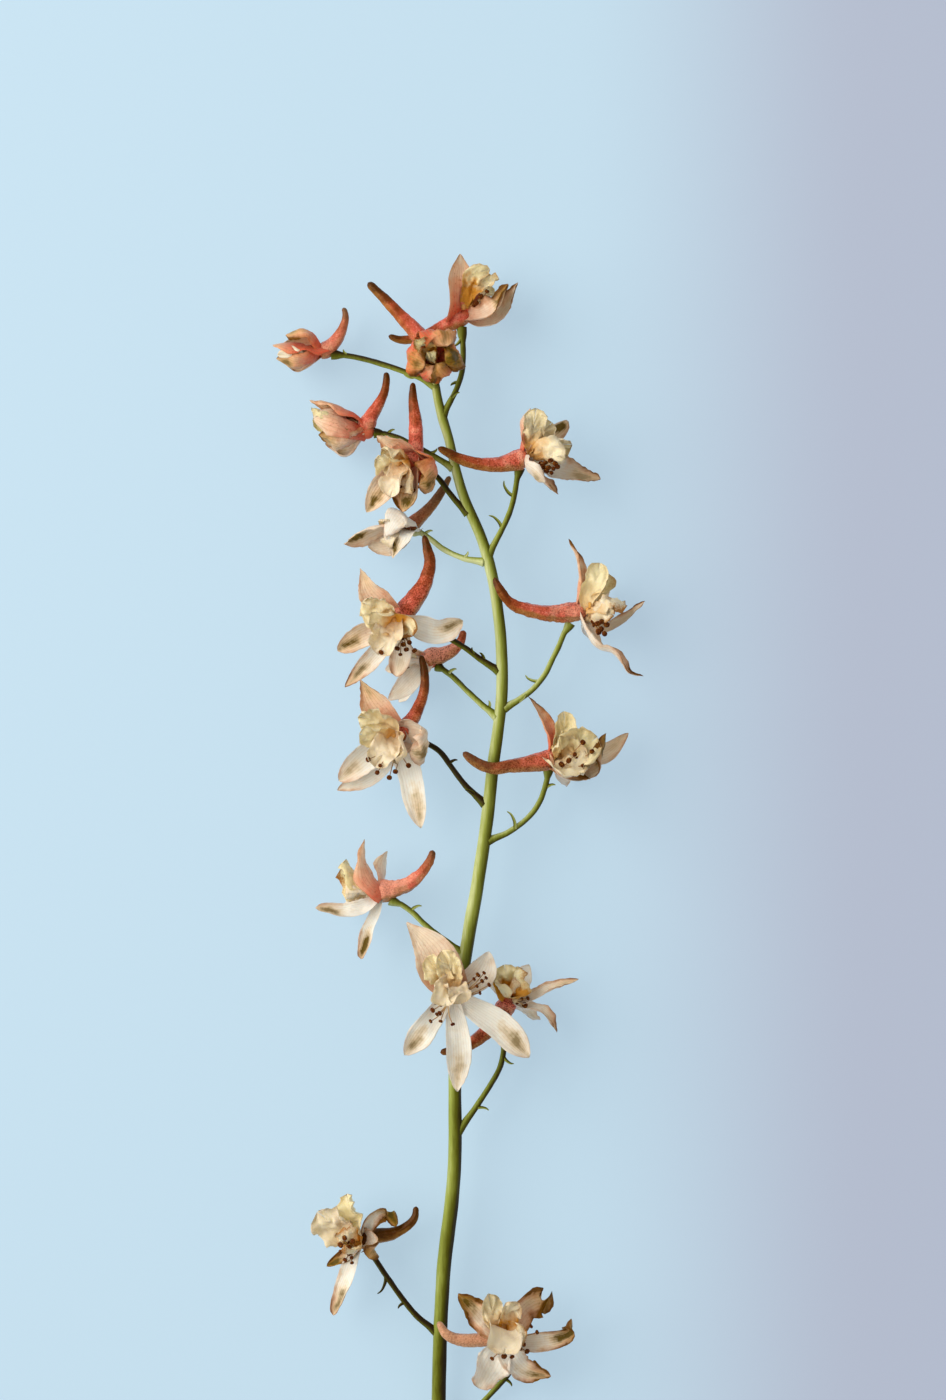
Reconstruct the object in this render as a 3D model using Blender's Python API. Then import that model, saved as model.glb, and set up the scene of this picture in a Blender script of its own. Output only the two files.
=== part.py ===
"""Delphinium flower spike: one cut stem with seventeen spurred flowers, lying on its side.

The stem runs along Y with its tip at +Y, and +Z points up from the surface it lies on.
Each flower is a calyx (five petal-like sepals, one of them drawn out into a spur),
four small petals in the throat, and a tuft of stamens.
"""
import math

import bmesh
import bpy
from mathutils import Vector

MM = 0.001
GAP = 0.3 * MM                 # clearance between neighbouring pieces

# The flowers were placed by eye on a photograph: x and y below are its pixels,
# heights and radii are millimetres. The stem is 4.3 mm thick where it is 14.5 pixels wide.
PIXEL = 0.3 * MM
PHOTO_MIDDLE = (473.0, 700.0)
SPIKE_SHIFT = (4.3 * MM, 50.25 * MM, 0.1 * MM)  # centres the spike and sets it on the surface

SEPAL_THICKNESS = 0.7 * MM
PETAL_THICKNESS = 0.65 * MM
FILAMENT_RADIUS = 0.4 * MM
ANTHER_RADIUS = 0.85 * MM
CALYX_CORE = 2.3 * MM          # knot where the sepals meet
PETAL_CORE = 1.1 * MM
STAMEN_CORE = 1.0 * MM
RECEPTACLE = 1.5 * MM          # swollen end of each flower stalk

SEPAL_GRID = (2, 3)            # faces across and along one sepal
PETAL_GRID = (2, 2)
SPUR_SIDES = 6
SPUR_RINGS = 6
STALK_SIDES = 5
STALK_RINGS = 6
STAMEN_SIDES = 3
STAMEN_RINGS = 3
BRACT_SIDES = 3
STEM_SIDES = 8
STEM_RINGS = 30
FLAT_ANGLE = math.radians(2.5)  # faces that meet at less than this count as one

# Stem centre line from tip to cut end: x, y, height, radius.
STEM = [
    (434, 376, 17.2, 1.2), (438, 400, 17.5, 1.2), (449, 440, 17.5, 1.4), (465, 500, 17.0, 1.5),
    (482, 540, 17.0, 1.6), (493, 580, 17.0, 1.7), (499, 620, 17.0, 1.7), (502, 660, 17.0, 1.8),
    (501, 705, 17.0, 1.8), (495, 750, 17.0, 1.9), (489, 800, 17.0, 1.9), (484, 840, 17.0, 2.0),
    (476, 890, 17.0, 2.0), (466, 945, 16.8, 2.0), (459, 1000, 16.5, 1.95), (455, 1070, 16.0, 1.9),
    (455, 1130, 15.0, 2.0), (452, 1200, 13.5, 2.1), (445, 1270, 11.6, 2.1), (440, 1340, 9.3, 2.1),
    (438, 1400, 6.5, 2.2), (438, 1480, 2.25, 2.25),
]

# One entry for each flower. Paths start at the throat; their heights are above the throat.
# Sepals and petals: name, width in millimetres, points on the midrib. Stamens: anthers.
# Stalk: points from the receptacle to the stem with their heights above the surface.
BLOOMS = {
    "bloom_01": dict(
        throat=(324, 350, 11.0), facing=(-1.0, -0.1, 0.2),
        spur=[(324, 349, 0, 2.5), (333, 342, 0.4, 2.1), (340, 332, 0.8, 1.6), (344, 322, 0.8, 1.2),
              (345, 314, 0.5, 1.0), (343, 306, 0, 0.7)],
        sepals=[("upper", 7.0, [(305, 341, 0), (287, 336, 0.5), (272, 343, 0.5)]),
                ("near side", 7.5, [(311, 333, 3.5), (300, 327, 4.5), (284, 332, 3.0)]),
                ("far side", 7.5, [(308, 338, -4.5), (292, 340, -5.5), (277, 345, -4.0)]),
                ("near lower", 7.0, [(309, 362, 3.2), (293, 365, 4.0), (277, 357, 3.0)]),
                ("far lower", 7.0, [(308, 361, -3.2), (293, 363, -4.4), (279, 356, -3.5)])],
        petals=[("upper", 3.6, [(306, 347, 1.4), (296, 347, 1.7), (283, 349, 1.4)]),
                ("lower", 3.6, [(306, 352, -1.0), (296, 353, -1.4), (284, 352, -1.4)])],
        stamens=[(300, 357, 0.4), (297, 353, 1.8), (292, 356, 0.2)],
        stalk=[(331, 353, 11.0), (345, 354, 11.3), (360, 357, 12.0), (380, 363, 13.5), (400, 370, 15.2),
               (420, 378, 16.6), (437, 388, 17.3)],
        bracts=[((350, 355), (343, 349)), ((404, 372), (414, 378))]),
    "bloom_02": dict(
        throat=(433, 361, 19.0), facing=(0.2, -0.3, 1.0),
        spur=[(430, 352, 0.3, 2.6), (418, 335, 0, 2.5), (400, 316, -0.5, 1.95), (385, 300, -1.0, 1.6),
              (368, 283, -1.5, 1.1)],
        sepals=[("upper", 8.0, [(424, 344, 3.5), (423, 338, 6.0), (436, 343, 8.0)]),
                ("left", 8.0, [(416, 354, 3.0), (410, 362, 5.5), (421, 368, 8.0)]),
                ("right", 8.0, [(450, 348, 3.0), (457, 350, 5.5), (450, 361, 8.0)]),
                ("lower left", 7.5, [(421, 374, 2.5), (420, 381, 5.0), (430, 373, 7.5)]),
                ("lower right", 7.5, [(446, 374, 2.5), (450, 378, 5.0), (441, 369, 8.0)])],
        petals=[("upper", 3.5, [(433, 354, 4.0), (434, 350, 6.0), (438, 352, 7.5)]),
                ("lower", 3.5, [(436, 362, 4.0), (441, 362, 6.0), (438, 358, 8.0)])],
        stamens=[(428, 362, 6.6), (433, 368, 6.6), (429, 356, 6.6)],
        stalk=[(433, 365, 16.0), (433.5, 372, 16.9), (435, 384, 17.3)],
        bracts=[]),
    "bloom_03": dict(
        throat=(463, 315, 11.0), facing=(0.35, 0.85, 0.35),
        spur=[(461, 316, 0, 2.6), (445, 324, -0.3, 2.1), (430, 332, -0.6, 1.8), (415, 337, -0.8, 1.5),
              (400, 338, -1.0, 1.2), (388, 334, -1.0, 0.8)],
        sepals=[("upper", 8.5, [(456, 298, 0), (456, 278, -0.5), (459, 254, -1.0)]),
                ("left", 6.0, [(461, 298, 4.5), (465, 284, 6.0), (474, 274, 5.0)]),
                ("right", 6.0, [(482, 311, 3.0), (497, 297, 4.0), (508, 284, 3.4)]),
                ("lower right", 5.0, [(482, 320, 0), (505, 309, 0.5), (518, 281, 1.0)]),
                ("under", 6.5, [(472, 300, -4.5), (481, 286, -6.5), (490, 274, -6.5)])],
        petals=[("upper", 5.0, [(466, 295, 2.4), (467, 282, 3.4), (464, 270, 3.4)]),
                ("upper", 5.0, [(474, 292, 1.6), (483, 281, 2.2), (494, 277, 2.2)]),
                ("lower", 4.0, [(477, 300, -0.6), (487, 293, -1.6), (493, 287, -1.6)])],
        stamens=[(476, 304, 2.0), (484, 299, 2.0), (490, 295, 1.4)],
        stalk=[(462, 326, 10.8), (463, 345, 11.6), (463, 360, 12.6), (461, 375, 14.0), (456, 390, 15.6),
               (450, 402, 16.8), (443, 416, 17.5)],
        bracts=[((461.5, 336), (453, 345)), ((458, 382), (451, 385)), ((452, 398), (459, 393))]),
    "bloom_04": dict(
        throat=(367, 431, 12.0), facing=(-1.0, 0.05, 0.2),
        spur=[(366, 424, 0, 2.6), (371, 415, 0.3, 2.1), (378, 404, 0.5, 1.7), (384, 392, 0.5, 1.3),
              (386, 380, 0.3, 1.1), (386, 371, 0, 0.8)],
        sepals=[("upper", 7.0, [(350, 411, 0.5), (328, 401, 0.5), (309, 400, 0)]),
                ("near side", 8.0, [(350, 420, 4.5), (332, 416, 6.0), (314, 415, 4.5)]),
                ("far side", 8.0, [(350, 422, -5.0), (332, 419, -6.5), (316, 418, -5.0)]),
                ("near lower", 8.0, [(352, 445, 3.2), (335, 446, 4.6), (317, 433, 3.5)]),
                ("far lower", 8.0, [(353, 448, -3.0), (340, 452, -4.5), (324, 444, -5.0)])],
        petals=[("upper", 4.5, [(347, 424, 2.2), (332, 417, 2.6), (314, 409, 2.2)]),
                ("upper", 4.5, [(347, 424, -1.6), (332, 419, -2.2), (316, 413, -2.2)]),
                ("lower", 4.0, [(349, 433, -0.8), (337, 433, -1.2), (323, 431, -1.4)])],
        stamens=[(343, 438, 0.6), (338, 435, 2.2), (334, 439, 0.4), (340, 441, -1.0)],
        stalk=[(374, 432, 12.0), (385, 433, 12.3), (400, 438, 13.2), (415, 446, 14.5), (430, 454, 15.9),
               (440, 460, 16.7), (453, 468, 17.2)],
        bracts=[((387, 434), (394, 429)), ((430, 453), (437, 449))]),
    "bloom_05": dict(
        throat=(412, 462, 19.0), facing=(-0.5, -0.45, 0.75),
        spur=[(413, 458, 0, 2.7), (416, 445, 0.2, 2.3), (416, 430, 0.3, 2.1), (415, 415, 0, 1.8),
              (413, 400, -0.5, 1.4), (413, 383, -1.0, 0.8)],
        sepals=[("upper", 9.0, [(402, 449, 1.8), (391, 441, 3.0), (378, 439, 3.5)]),
                ("right", 7.5, [(424, 466, 2.0), (433, 476, 3.5), (431, 491, 5.5)]),
                ("lower", 9.0, [(414, 478, 2.5), (412, 494, 3.5), (404, 512, 3.5)]),
                ("left", 7.5, [(398, 474, 1.6), (383, 489, 2.2), (368, 512, 1.6)]),
                ("under", 6.5, [(400, 470, -3.0), (390, 476, -4.5), (382, 484, -5.0)])],
        petals=[("upper", 5.0, [(400, 456, 4.4), (391, 451, 6.2), (384, 450, 7.0)]),
                ("upper", 5.0, [(397, 464, 4.8), (387, 463, 6.8), (377, 459, 7.6)]),
                ("lower", 4.5, [(399, 476, 5.4), (394, 488, 6.6), (391, 500, 6.8)]),
                ("lower", 4.5, [(409, 474, 6.0), (411, 486, 7.4), (414, 498, 7.6)])],
        stamens=[(400, 489, 4.6), (405, 493, 5.0), (409, 486, 5.2), (413, 492, 5.0)],
        stalk=[(417, 466, 17.4), (428, 471, 17.2), (438, 478, 17.0), (447, 490, 17.0), (455, 500, 17.0),
               (468, 514, 17.0)],
        bracts=[((430, 472), (432, 465))]),
    "bloom_06": dict(
        throat=(409, 527, 9.0), facing=(-0.6, -0.6, 0.4),
        spur=[(411, 524, 0, 2.4), (420, 516, 0.4, 2.0), (431, 505, 0.8, 1.6), (441, 491, 1.0, 1.3),
              (450, 475, 1.0, 0.8)],
        sepals=[("left", 7.5, [(391, 523, 1.5), (370, 527, 2.0), (345, 542, 1.5)]),
                ("lower left", 7.0, [(396, 539, -2.6), (383, 547, -3.6), (366, 546, -3.6)]),
                ("lower", 8.0, [(404, 537, 3.0), (399, 547, 4.0), (394, 557, 3.5)]),
                ("right", 5.5, [(413, 538, 1.5), (417, 545, 2.5), (419, 551, 2.5)]),
                ("upper", 7.0, [(400, 514, 2.5), (390, 508, 3.8), (379, 508, 4.0)])],
        petals=[("upper", 4.5, [(396, 522, 4.2), (387, 520, 5.6), (378, 521, 6.2)]),
                ("lower", 4.5, [(396, 531, 3.8), (388, 536, 5.0), (380, 541, 5.6)])],
        stamens=[(394, 538, 0.6), (389, 534, 1.4), (398, 543, 0)],
        stalk=[(414, 530, 9.0), (421, 532, 9.8), (431, 539, 11.5), (442, 548, 13.4), (455, 555, 15.2),
               (466, 559, 16.2), (484, 562, 17.0)],
        bracts=[((424, 534), (432, 530)), ((463, 558), (468, 552))]),
    "bloom_07": dict(
        throat=(523, 460, 16.0), facing=(0.93, 0.15, 0.35),
        spur=[(521, 459, 0.4, 3.1), (512, 462, 1.4, 2.8), (498, 465, 3.0, 2.3), (480, 465, 5.0, 2.0),
              (463, 461, 6.2, 1.7), (450, 455, 6.6, 1.4), (438, 449, 6.6, 0.8)],
        sepals=[("upper", 7.0, [(521, 438, 0.4), (521, 422, 0.4), (529, 409, 0.8)]),
                ("far side", 8.0, [(536, 444, -4.0), (551, 432, -7.0), (567, 422, -8.5)]),
                ("near side", 6.5, [(526, 469, 4.0), (534, 478, 7.0), (546, 485, 8.0)]),
                ("near lower", 5.5, [(530, 475, 1.0), (543, 484, 1.0), (557, 494, 0)]),
                ("far lower", 8.5, [(545, 468, -3.0), (572, 476, -4.0), (600, 478, -3.0)])],
        petals=[("upper", 5.5, [(531, 441, 1.8), (533, 426, 2.4), (537, 411, 2.4)]),
                ("upper", 5.0, [(537, 438, -0.8), (546, 426, -1.2), (553, 417, -1.4)]),
                ("lower", 5.0, [(541, 449, 1.6), (556, 443, 2.4), (572, 437, 2.4)]),
                ("lower", 5.0, [(538, 453, 4.6), (550, 455, 7.0), (563, 459, 8.0)])],
        stamens=[(545, 469, 3.8), (552, 471, 3.0), (558, 465, 3.6), (553, 464, 5.0)],
        stalk=[(520, 468, 15.4), (517, 480, 15.5), (515, 492, 15.8), (511, 508, 16.2), (505, 523, 16.6),
               (497, 539, 16.9), (488, 556, 17.0)],
        bracts=[((513, 496), (504, 482)), ((502, 529), (490, 516))]),
    "bloom_08": dict(
        throat=(579, 613, 15.0), facing=(0.93, -0.1, 0.35),
        spur=[(576, 612, 0.4, 2.7), (567, 613, 1.0, 2.6), (555, 614, 2.2, 2.4), (538, 612, 3.8, 2.1),
              (520, 608, 5.2, 1.9), (508, 601, 5.8, 1.6), (500, 590, 6.0, 1.3), (494, 578, 6.0, 0.8)],
        sepals=[("upper", 7.0, [(577, 588, 0.4), (577, 564, 0.8), (568, 539, 0.4)]),
                ("near side", 5.5, [(601, 629, -1.4), (624, 619, -1.0), (645, 601, 0)]),
                ("near lower", 5.0, [(586, 632, 2.0), (598, 648, 2.4), (615, 656, 2.4), (628, 673, 1.8),
                                     (644, 676, 1.2)]),
                ("far side", 8.0, [(589, 602, -6.0), (600, 592, -10.5), (612, 588, -13.5)]),
                ("far lower", 7.0, [(584, 622, -6.0), (590, 629, -11.0), (597, 630, -14.7)])],
        petals=[("upper", 5.5, [(586, 594, 2.6), (590, 580, 3.4), (594, 565, 3.4)]),
                ("upper", 5.0, [(592, 596, 0), (601, 584, -0.2), (606, 571, -0.2)]),
                ("lower", 6.0, [(596, 603, 3.0), (611, 598, 4.2), (627, 605, 4.4)]),
                ("lower", 5.0, [(594, 609, 4.6), (604, 608, 7.0), (614, 611, 8.0)])],
        stamens=[(599, 625, 4.6), (602, 631, 4.2), (607, 626, 4.4), (608, 619, 4.4)],
        stalk=[(571, 623, 14.0), (564, 634, 13.8), (559, 646, 14.0), (552, 660, 14.6), (545, 674, 15.3),
               (534, 688, 16.0), (520, 699, 16.7), (504, 709, 17.0)],
        bracts=[((540, 681), (526, 676)), ((514, 703), (525, 695))]),
    "bloom_09": dict(
        throat=(400, 620, 20.0), facing=(-0.3, -0.3, 0.9),
        spur=[(402, 615, -0.4, 3.1), (411, 604, -0.7, 3.0), (420, 592, -1.0, 2.6), (427, 578, -1.4, 2.1),
              (430, 562, -2.0, 1.8), (427, 548, -2.5, 1.4), (424, 535, -3.0, 0.8)],
        sepals=[("upper", 9.0, [(389, 606, 1.2), (373, 592, 2.4), (361, 570, 3.0)]),
                ("left", 7.5, [(382, 627, 0.8), (361, 636, 1.4), (339, 651, 0.6)]),
                ("right", 8.0, [(417, 624, 1.2), (439, 630, 2.2), (462, 621, 2.6)]),
                ("lower left", 7.0, [(388, 641, 0.2), (368, 664, -0.6), (345, 687, -2.0)]),
                ("lower", 8.5, [(402, 641, 0.6), (403, 660, 0.2), (398, 678, 1.0)])],
        petals=[("upper", 6.5, [(386, 614, 4.0), (374, 610, 5.2), (363, 603, 5.6)]),
                ("upper", 6.0, [(388, 621, 5.2), (379, 622, 7.4), (371, 623, 8.0)]),
                ("lower", 6.0, [(392, 630, 5.4), (386, 642, 7.2), (378, 651, 7.8)]),
                ("lower", 5.5, [(405, 624, 5.4), (413, 629, 7.2), (418, 636, 7.8)])],
        stamens=[(396, 649, 4.4), (401, 656, 4.2), (407, 649, 4.8), (416, 652, 4.6)],
        stalk=[(407, 624, 18.0), (420, 629, 17.0), (434, 633, 16.4), (448, 638, 16.4), (465, 648, 16.6),
               (480, 659, 16.8), (499, 671, 17.0)],
        bracts=[((476, 656), (472, 648)), ((484, 661), (480, 653))]),
    "bloom_10": dict(
        throat=(430, 661, 8.0), facing=(-0.75, -0.4, 0.2),
        spur=[(431, 657, 0, 2.9), (441, 655, 0.4, 2.5), (452, 650, 1.0, 2.0), (460, 642, 1.4, 1.5),
              (464, 630, 1.5, 0.9)],
        sepals=[("hanging", 7.0, [(418, 673, 4.2), (405, 687, 5.0), (388, 700, 4.4)]),
                ("near side", 6.5, [(414, 658, 3.6), (400, 660, 5.0), (388, 667, 5.0)]),
                ("far side", 6.5, [(412, 660, -3.6), (398, 664, -5.6), (384, 670, -7.2)]),
                ("far lower", 6.5, [(419, 675, -2.8), (409, 690, -5.4), (398, 702, -7.6)]),
                ("upper", 6.5, [(412, 648, 0.4), (397, 646, 0.6), (384, 650, 0.6)])],
        petals=[("upper", 4.0, [(413, 655, 1.8), (403, 656, 2.2), (393, 659, 2.2)]),
                ("lower", 4.0, [(414, 664, 0.2), (405, 669, 0.2), (396, 675, 0.2)])],
        stamens=[(412, 671, -0.4), (406, 677, -0.4), (408, 668, -0.6)],
        stalk=[(437, 666, 7.6), (444, 670, 8.6), (453, 677, 10.4), (465, 689, 13.2), (480, 703, 15.8),
               (497, 717, 17.0)],
        bracts=[((449, 673), (456, 669)), ((488, 710), (489, 701))]),
    "bloom_11": dict(
        throat=(399, 735, 17.0), facing=(-0.3, -0.35, 0.88),
        spur=[(403, 731, -0.3, 2.7), (411, 721, 0, 2.3), (417, 711, 0.6, 1.9), (422, 699, 1.2, 1.6),
              (425, 684, 1.5, 1.4), (424, 669, 1.5, 1.2), (421, 655, 1.5, 0.8)],
        sepals=[("upper", 9.5, [(390, 717, 1.4), (377, 701, 2.4), (361, 681, 3.2)]),
                ("right", 8.0, [(413, 739, 1.6), (424, 748, 3.2), (418, 764, 5.2)]),
                ("lower right", 8.0, [(408, 757, 1.2), (416, 788, 1.6), (421, 828, 0)]),
                ("left", 8.0, [(381, 745, 0.8), (362, 760, 0.8), (340, 781, -0.6)]),
                ("lower", 7.0, [(389, 757, -0.8), (367, 775, -2.4), (337, 791, -4.0)])],
        petals=[("upper", 6.5, [(390, 727, 3.8), (377, 721, 5.2), (361, 716, 5.6)]),
                ("upper", 6.0, [(387, 735, 5.0), (374, 735, 7.4), (361, 733, 8.0)]),
                ("lower", 6.0, [(389, 744, 5.6), (381, 754, 7.4), (373, 763, 8.0)]),
                ("lower", 6.0, [(401, 743, 5.8), (403, 752, 7.6), (402, 762, 8.4)])],
        stamens=[(378, 771, 4.6), (389, 777, 4.4), (395, 771, 5.0), (408, 769, 5.0)],
        stalk=[(407, 737, 15.0), (418, 740, 14.6), (430, 745, 14.4), (441, 753, 14.6), (452, 768, 15.2),
               (465, 785, 16.2), (485, 804, 17.0)],
        bracts=[((449, 764), (457, 760)), ((475, 795), (466, 790))]),
    "bloom_12": dict(
        throat=(552, 760, 15.0), facing=(0.78, 0.0, 0.6),
        spur=[(549, 760, 0.3, 3.0), (540, 762, 1.4, 2.8), (526, 764, 3.2, 2.4), (510, 766, 5.2, 2.0),
              (492, 768, 6.6, 1.8), (476, 762, 7.0, 1.6), (463, 752, 6.8, 1.0)],
        sepals=[("upper", 7.5, [(549, 740, 0.6), (543, 718, 0.8), (528, 697, 1.0)]),
                ("near side", 6.5, [(574, 770, 3.0), (599, 762, 5.4), (606, 735, 6.4)]),
                ("far side", 6.5, [(578, 756, -2.4), (605, 752, -4.0), (629, 734, -4.8)]),
                ("near lower", 7.5, [(557, 773, 2.6), (570, 781, 4.6), (589, 779, 6.4)]),
                ("far lower", 7.0, [(558, 769, -6.0), (565, 776, -11.0), (573, 778, -14.7)])],
        petals=[("upper", 6.0, [(559, 744, 3.4), (563, 728, 4.8), (564, 712, 5.0)]),
                ("upper", 6.0, [(561, 749, 5.0), (565, 739, 7.6), (569, 731, 8.8)]),
                ("lower", 6.0, [(569, 753, 4.0), (583, 744, 5.6), (596, 731, 6.0)]),
                ("lower", 5.0, [(568, 755, 5.8), (580, 752, 8.4), (592, 750, 9.8)])],
        stamens=[(568, 765, 6.4), (575, 768, 7.8), (582, 768, 8.8), (588, 763, 9.2)],
        stalk=[(549, 769, 13.2), (547, 781, 12.6), (542, 797, 13.0), (534, 811, 13.9), (522, 823, 15.0),
               (507, 833, 16.2), (488, 841, 17.0)],
        bracts=[((546, 788), (555, 785)), ((515, 829), (508, 812))]),
    "bloom_13": dict(
        throat=(382, 893, 16.0), facing=(-0.9, 0.0, -0.2),
        spur=[(384, 891, 0, 3.2), (393, 889, 0.3, 2.7), (404, 886, 0.6, 2.2), (414, 880, 0.8, 1.9),
              (423, 871, 0.9, 1.6), (430, 860, 0.9, 1.3), (433, 850, 0.9, 0.9)],
        sepals=[("upper", 9.5, [(374, 879, 2.2), (367, 861, 3.2), (364, 840, 2.4)]),
                ("far side", 7.0, [(384, 877, -3.0), (383, 864, -6.0), (386, 853, -8.5)]),
                ("left", 6.5, [(367, 906, 2.4), (345, 912, 3.6), (317, 907, 3.8)]),
                ("bottom", 6.0, [(377, 911, 1.6), (369, 932, 2.0), (362, 958, 1.0)]),
                ("far lower", 7.0, [(368, 901, -5.0), (355, 906, -9.0), (343, 911, -12.0)])],
        petals=[("upper", 6.0, [(369, 883, -0.6), (357, 873, -0.8), (346, 860, -1.0)]),
                ("upper", 5.5, [(367, 887, -3.0), (353, 880, -4.6), (341, 870, -5.6)]),
                ("lower", 5.0, [(367, 893, -0.4), (357, 896, -0.2), (348, 899, 0)]),
                ("lower", 5.0, [(366, 895, -3.6), (356, 894, -5.6), (348, 893, -6.8)])],
        stamens=[(355, 903, -1.0), (361, 908, -1.6), (353, 909, -2.6), (359, 911, -3.6)],
        stalk=[(390, 900, 15.4), (402, 905, 15.0), (413, 913, 15.0), (424, 924, 15.2), (440, 937, 15.8),
               (464, 954, 16.7)],
        bracts=[((411, 911), (421, 906))]),
    "bloom_14": dict(
        throat=(451, 990, 24.0), facing=(0.05, -0.15, 1.0),
        spur=[(449, 985, -1.0, 2.9), (443, 972, -2.4, 2.6), (436, 959, -3.8, 2.0), (427, 944, -4.8, 1.6),
              (418, 930, -5.6, 1.0)],
        sepals=[("upper", 13.0, [(443, 970, 0.8), (431, 946, 1.0), (407, 921, 0.4)]),
                ("left", 8.0, [(438, 1008, 0.8), (422, 1030, 1.2), (405, 1053, 0)]),
                ("bottom", 8.2, [(456, 1018, 0.8), (459, 1050, 0.8), (457, 1089, -0.6)]),
                ("right", 9.5, [(472, 1004, 0.8), (502, 1024, 1.2), (529, 1055, 0)]),
                ("upper right", 10.0, [(466, 982, 0.2), (481, 969, -0.2), (489, 950, -0.6)])],
        petals=[("upper", 6.5, [(445, 979, 3.6), (436, 968, 5.2), (428, 958, 5.8)]),
                ("upper", 6.5, [(453, 977, 4.0), (451, 964, 6.0), (446, 952, 6.6)]),
                ("lower", 6.5, [(443, 987, 5.0), (435, 987, 7.4), (427, 982, 8.4)]),
                ("lower", 6.5, [(456, 988, 5.0), (463, 990, 7.6), (470, 986, 8.6)])],
        stamens=[(433, 1007, 4.4), (440, 1012, 4.6), (431, 1018, 4.2), (454, 1021, 4.4), (478, 976, 4.0),
                 (487, 980, 3.6), (482, 990, 4.2)],
        stalk=[(452, 996, 21.6), (451, 1008, 20.6), (450, 1022, 19.8), (451, 1040, 18.6), (455, 1064, 16.4)],
        bracts=[]),
    "bloom_15": dict(
        throat=(508, 1004, 10.0), facing=(0.45, 0.65, 0.6),
        spur=[(506, 1008, 0, 2.9), (498, 1020, -0.6, 2.7), (485, 1035, -1.4, 2.2), (465, 1049, -1.8, 1.7),
              (440, 1055, -1.8, 1.0)],
        sepals=[("upper left", 6.5, [(497, 992, -2.6), (489, 982, -4.8), (484, 972, -6.0)]),
                ("right", 5.0, [(526, 1003, 1.6), (550, 990, 2.6), (579, 980, 2.6)]),
                ("lower right", 5.0, [(526, 1009, 1.0), (544, 1014, 1.6), (557, 1034, 0.8)]),
                ("under", 7.0, [(514, 992, -3.4), (522, 980, -6.0), (530, 968, -8.0)]),
                ("lower", 6.5, [(518, 1010, -3.6), (530, 1018, -7.0), (541, 1024, -9.7)])],
        petals=[("upper", 5.5, [(507, 990, 3.2), (507, 978, 4.2), (504, 966, 4.4)]),
                ("upper", 5.5, [(512, 990, 4.0), (515, 979, 6.0), (518, 969, 6.8)]),
                ("lower", 5.0, [(504, 994, 5.0), (500, 988, 7.4), (495, 983, 8.4)]),
                ("lower", 5.0, [(516, 997, 4.4), (523, 993, 5.6), (530, 990, 6.0)])],
        stamens=[(517, 1003, 2.4), (525, 1006, 2.6), (528, 999, 3.0), (521, 996, 2.2)],
        stalk=[(505, 1014, 13.2), (504, 1026, 13.8), (504, 1042, 14.0), (503, 1056, 14.0), (499, 1070, 14.0),
               (490, 1086, 14.2), (477, 1106, 14.6), (457, 1134, 14.9)],
        bracts=[((504, 1046), (513, 1052)), ((503, 1056), (513, 1064)), ((475, 1109), (488, 1110))]),
    "bloom_16": dict(
        throat=(362, 1244, 11.0), facing=(-0.6, 0.1, 0.8),
        spur=[(366, 1241, 0, 2.6), (376, 1238, 0.3, 2.4), (390, 1236, 0.6, 2.0), (404, 1230, 1.0, 1.5),
              (414, 1220, 1.0, 1.2), (416, 1208, 1.0, 0.8)],
        sepals=[("upper", 3.8, [(367, 1229, 2.4), (376, 1215, 3.6), (389, 1211, 4.4), (397, 1226, 4.6)]),
                ("lower", 6.5, [(354, 1262, 0.8), (345, 1288, 1.0), (333, 1317, 0)]),
                ("right", 6.5, [(370, 1240, 3.6), (375, 1248, 5.8), (371, 1257, 6.6)]),
                ("lower left", 4.0, [(352, 1255, -0.4), (339, 1262, -0.6), (326, 1268, -0.6)]),
                ("under", 7.0, [(352, 1240, -3.4), (338, 1237, -5.6), (322, 1233, -6.6)])],
        petals=[("upper", 7.0, [(357, 1228, 3.6), (352, 1212, 4.4), (347, 1195, 4.4)]),
                ("upper", 7.5, [(349, 1236, 3.6), (334, 1226, 4.6), (318, 1216, 4.8)]),
                ("lower", 5.0, [(353, 1241, 5.0), (346, 1240, 7.6), (339, 1236, 8.8)]),
                ("lower", 5.0, [(357, 1247, 4.8), (351, 1252, 7.0), (345, 1256, 7.8)])],
        stamens=[(349, 1254, 4.4), (345, 1260, 4.8), (352, 1263, 4.6), (340, 1252, 4.4)],
        stalk=[(367, 1250, 9.4), (372, 1258, 9.2), (379, 1269, 9.2), (389, 1284, 9.2), (402, 1302, 9.2),
               (416, 1319, 9.2), (438, 1337, 9.3)],
        bracts=[((385, 1278), (378, 1296)), ((405, 1306), (398, 1311))]),
    "bloom_17": dict(
        throat=(503, 1335, 13.0), facing=(0.25, 0.0, 0.95),
        spur=[(497, 1338, 0, 2.6), (488, 1340, 0.3, 2.3), (475, 1341, 1.2, 2.0), (458, 1340, 2.2, 1.8),
              (446, 1334, 2.4, 1.5), (438, 1322, 2.2, 0.9)],
        sepals=[("upper left", 6.5, [(490, 1325, 0.8), (475, 1311, 1.4), (458, 1296, 1.4)]),
                ("upper right", 8.0, [(514, 1324, 0.4), (528, 1311, 0), (542, 1299, -1.0)]),
                ("right", 7.0, [(521, 1341, 0.8), (550, 1338, 1.6), (574, 1323, 2.6)]),
                ("lower left", 8.0, [(498, 1351, 0.6), (490, 1369, 0.8), (477, 1389, -0.4)]),
                ("lower right", 8.0, [(509, 1353, 0.4), (522, 1371, 0.4), (549, 1379, 0)])],
        petals=[("upper", 6.0, [(498, 1323, 3.8), (495, 1309, 5.0), (491, 1294, 5.2)]),
                ("upper", 6.0, [(505, 1322, 4.6), (509, 1308, 6.2), (513, 1295, 6.4)]),
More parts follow.
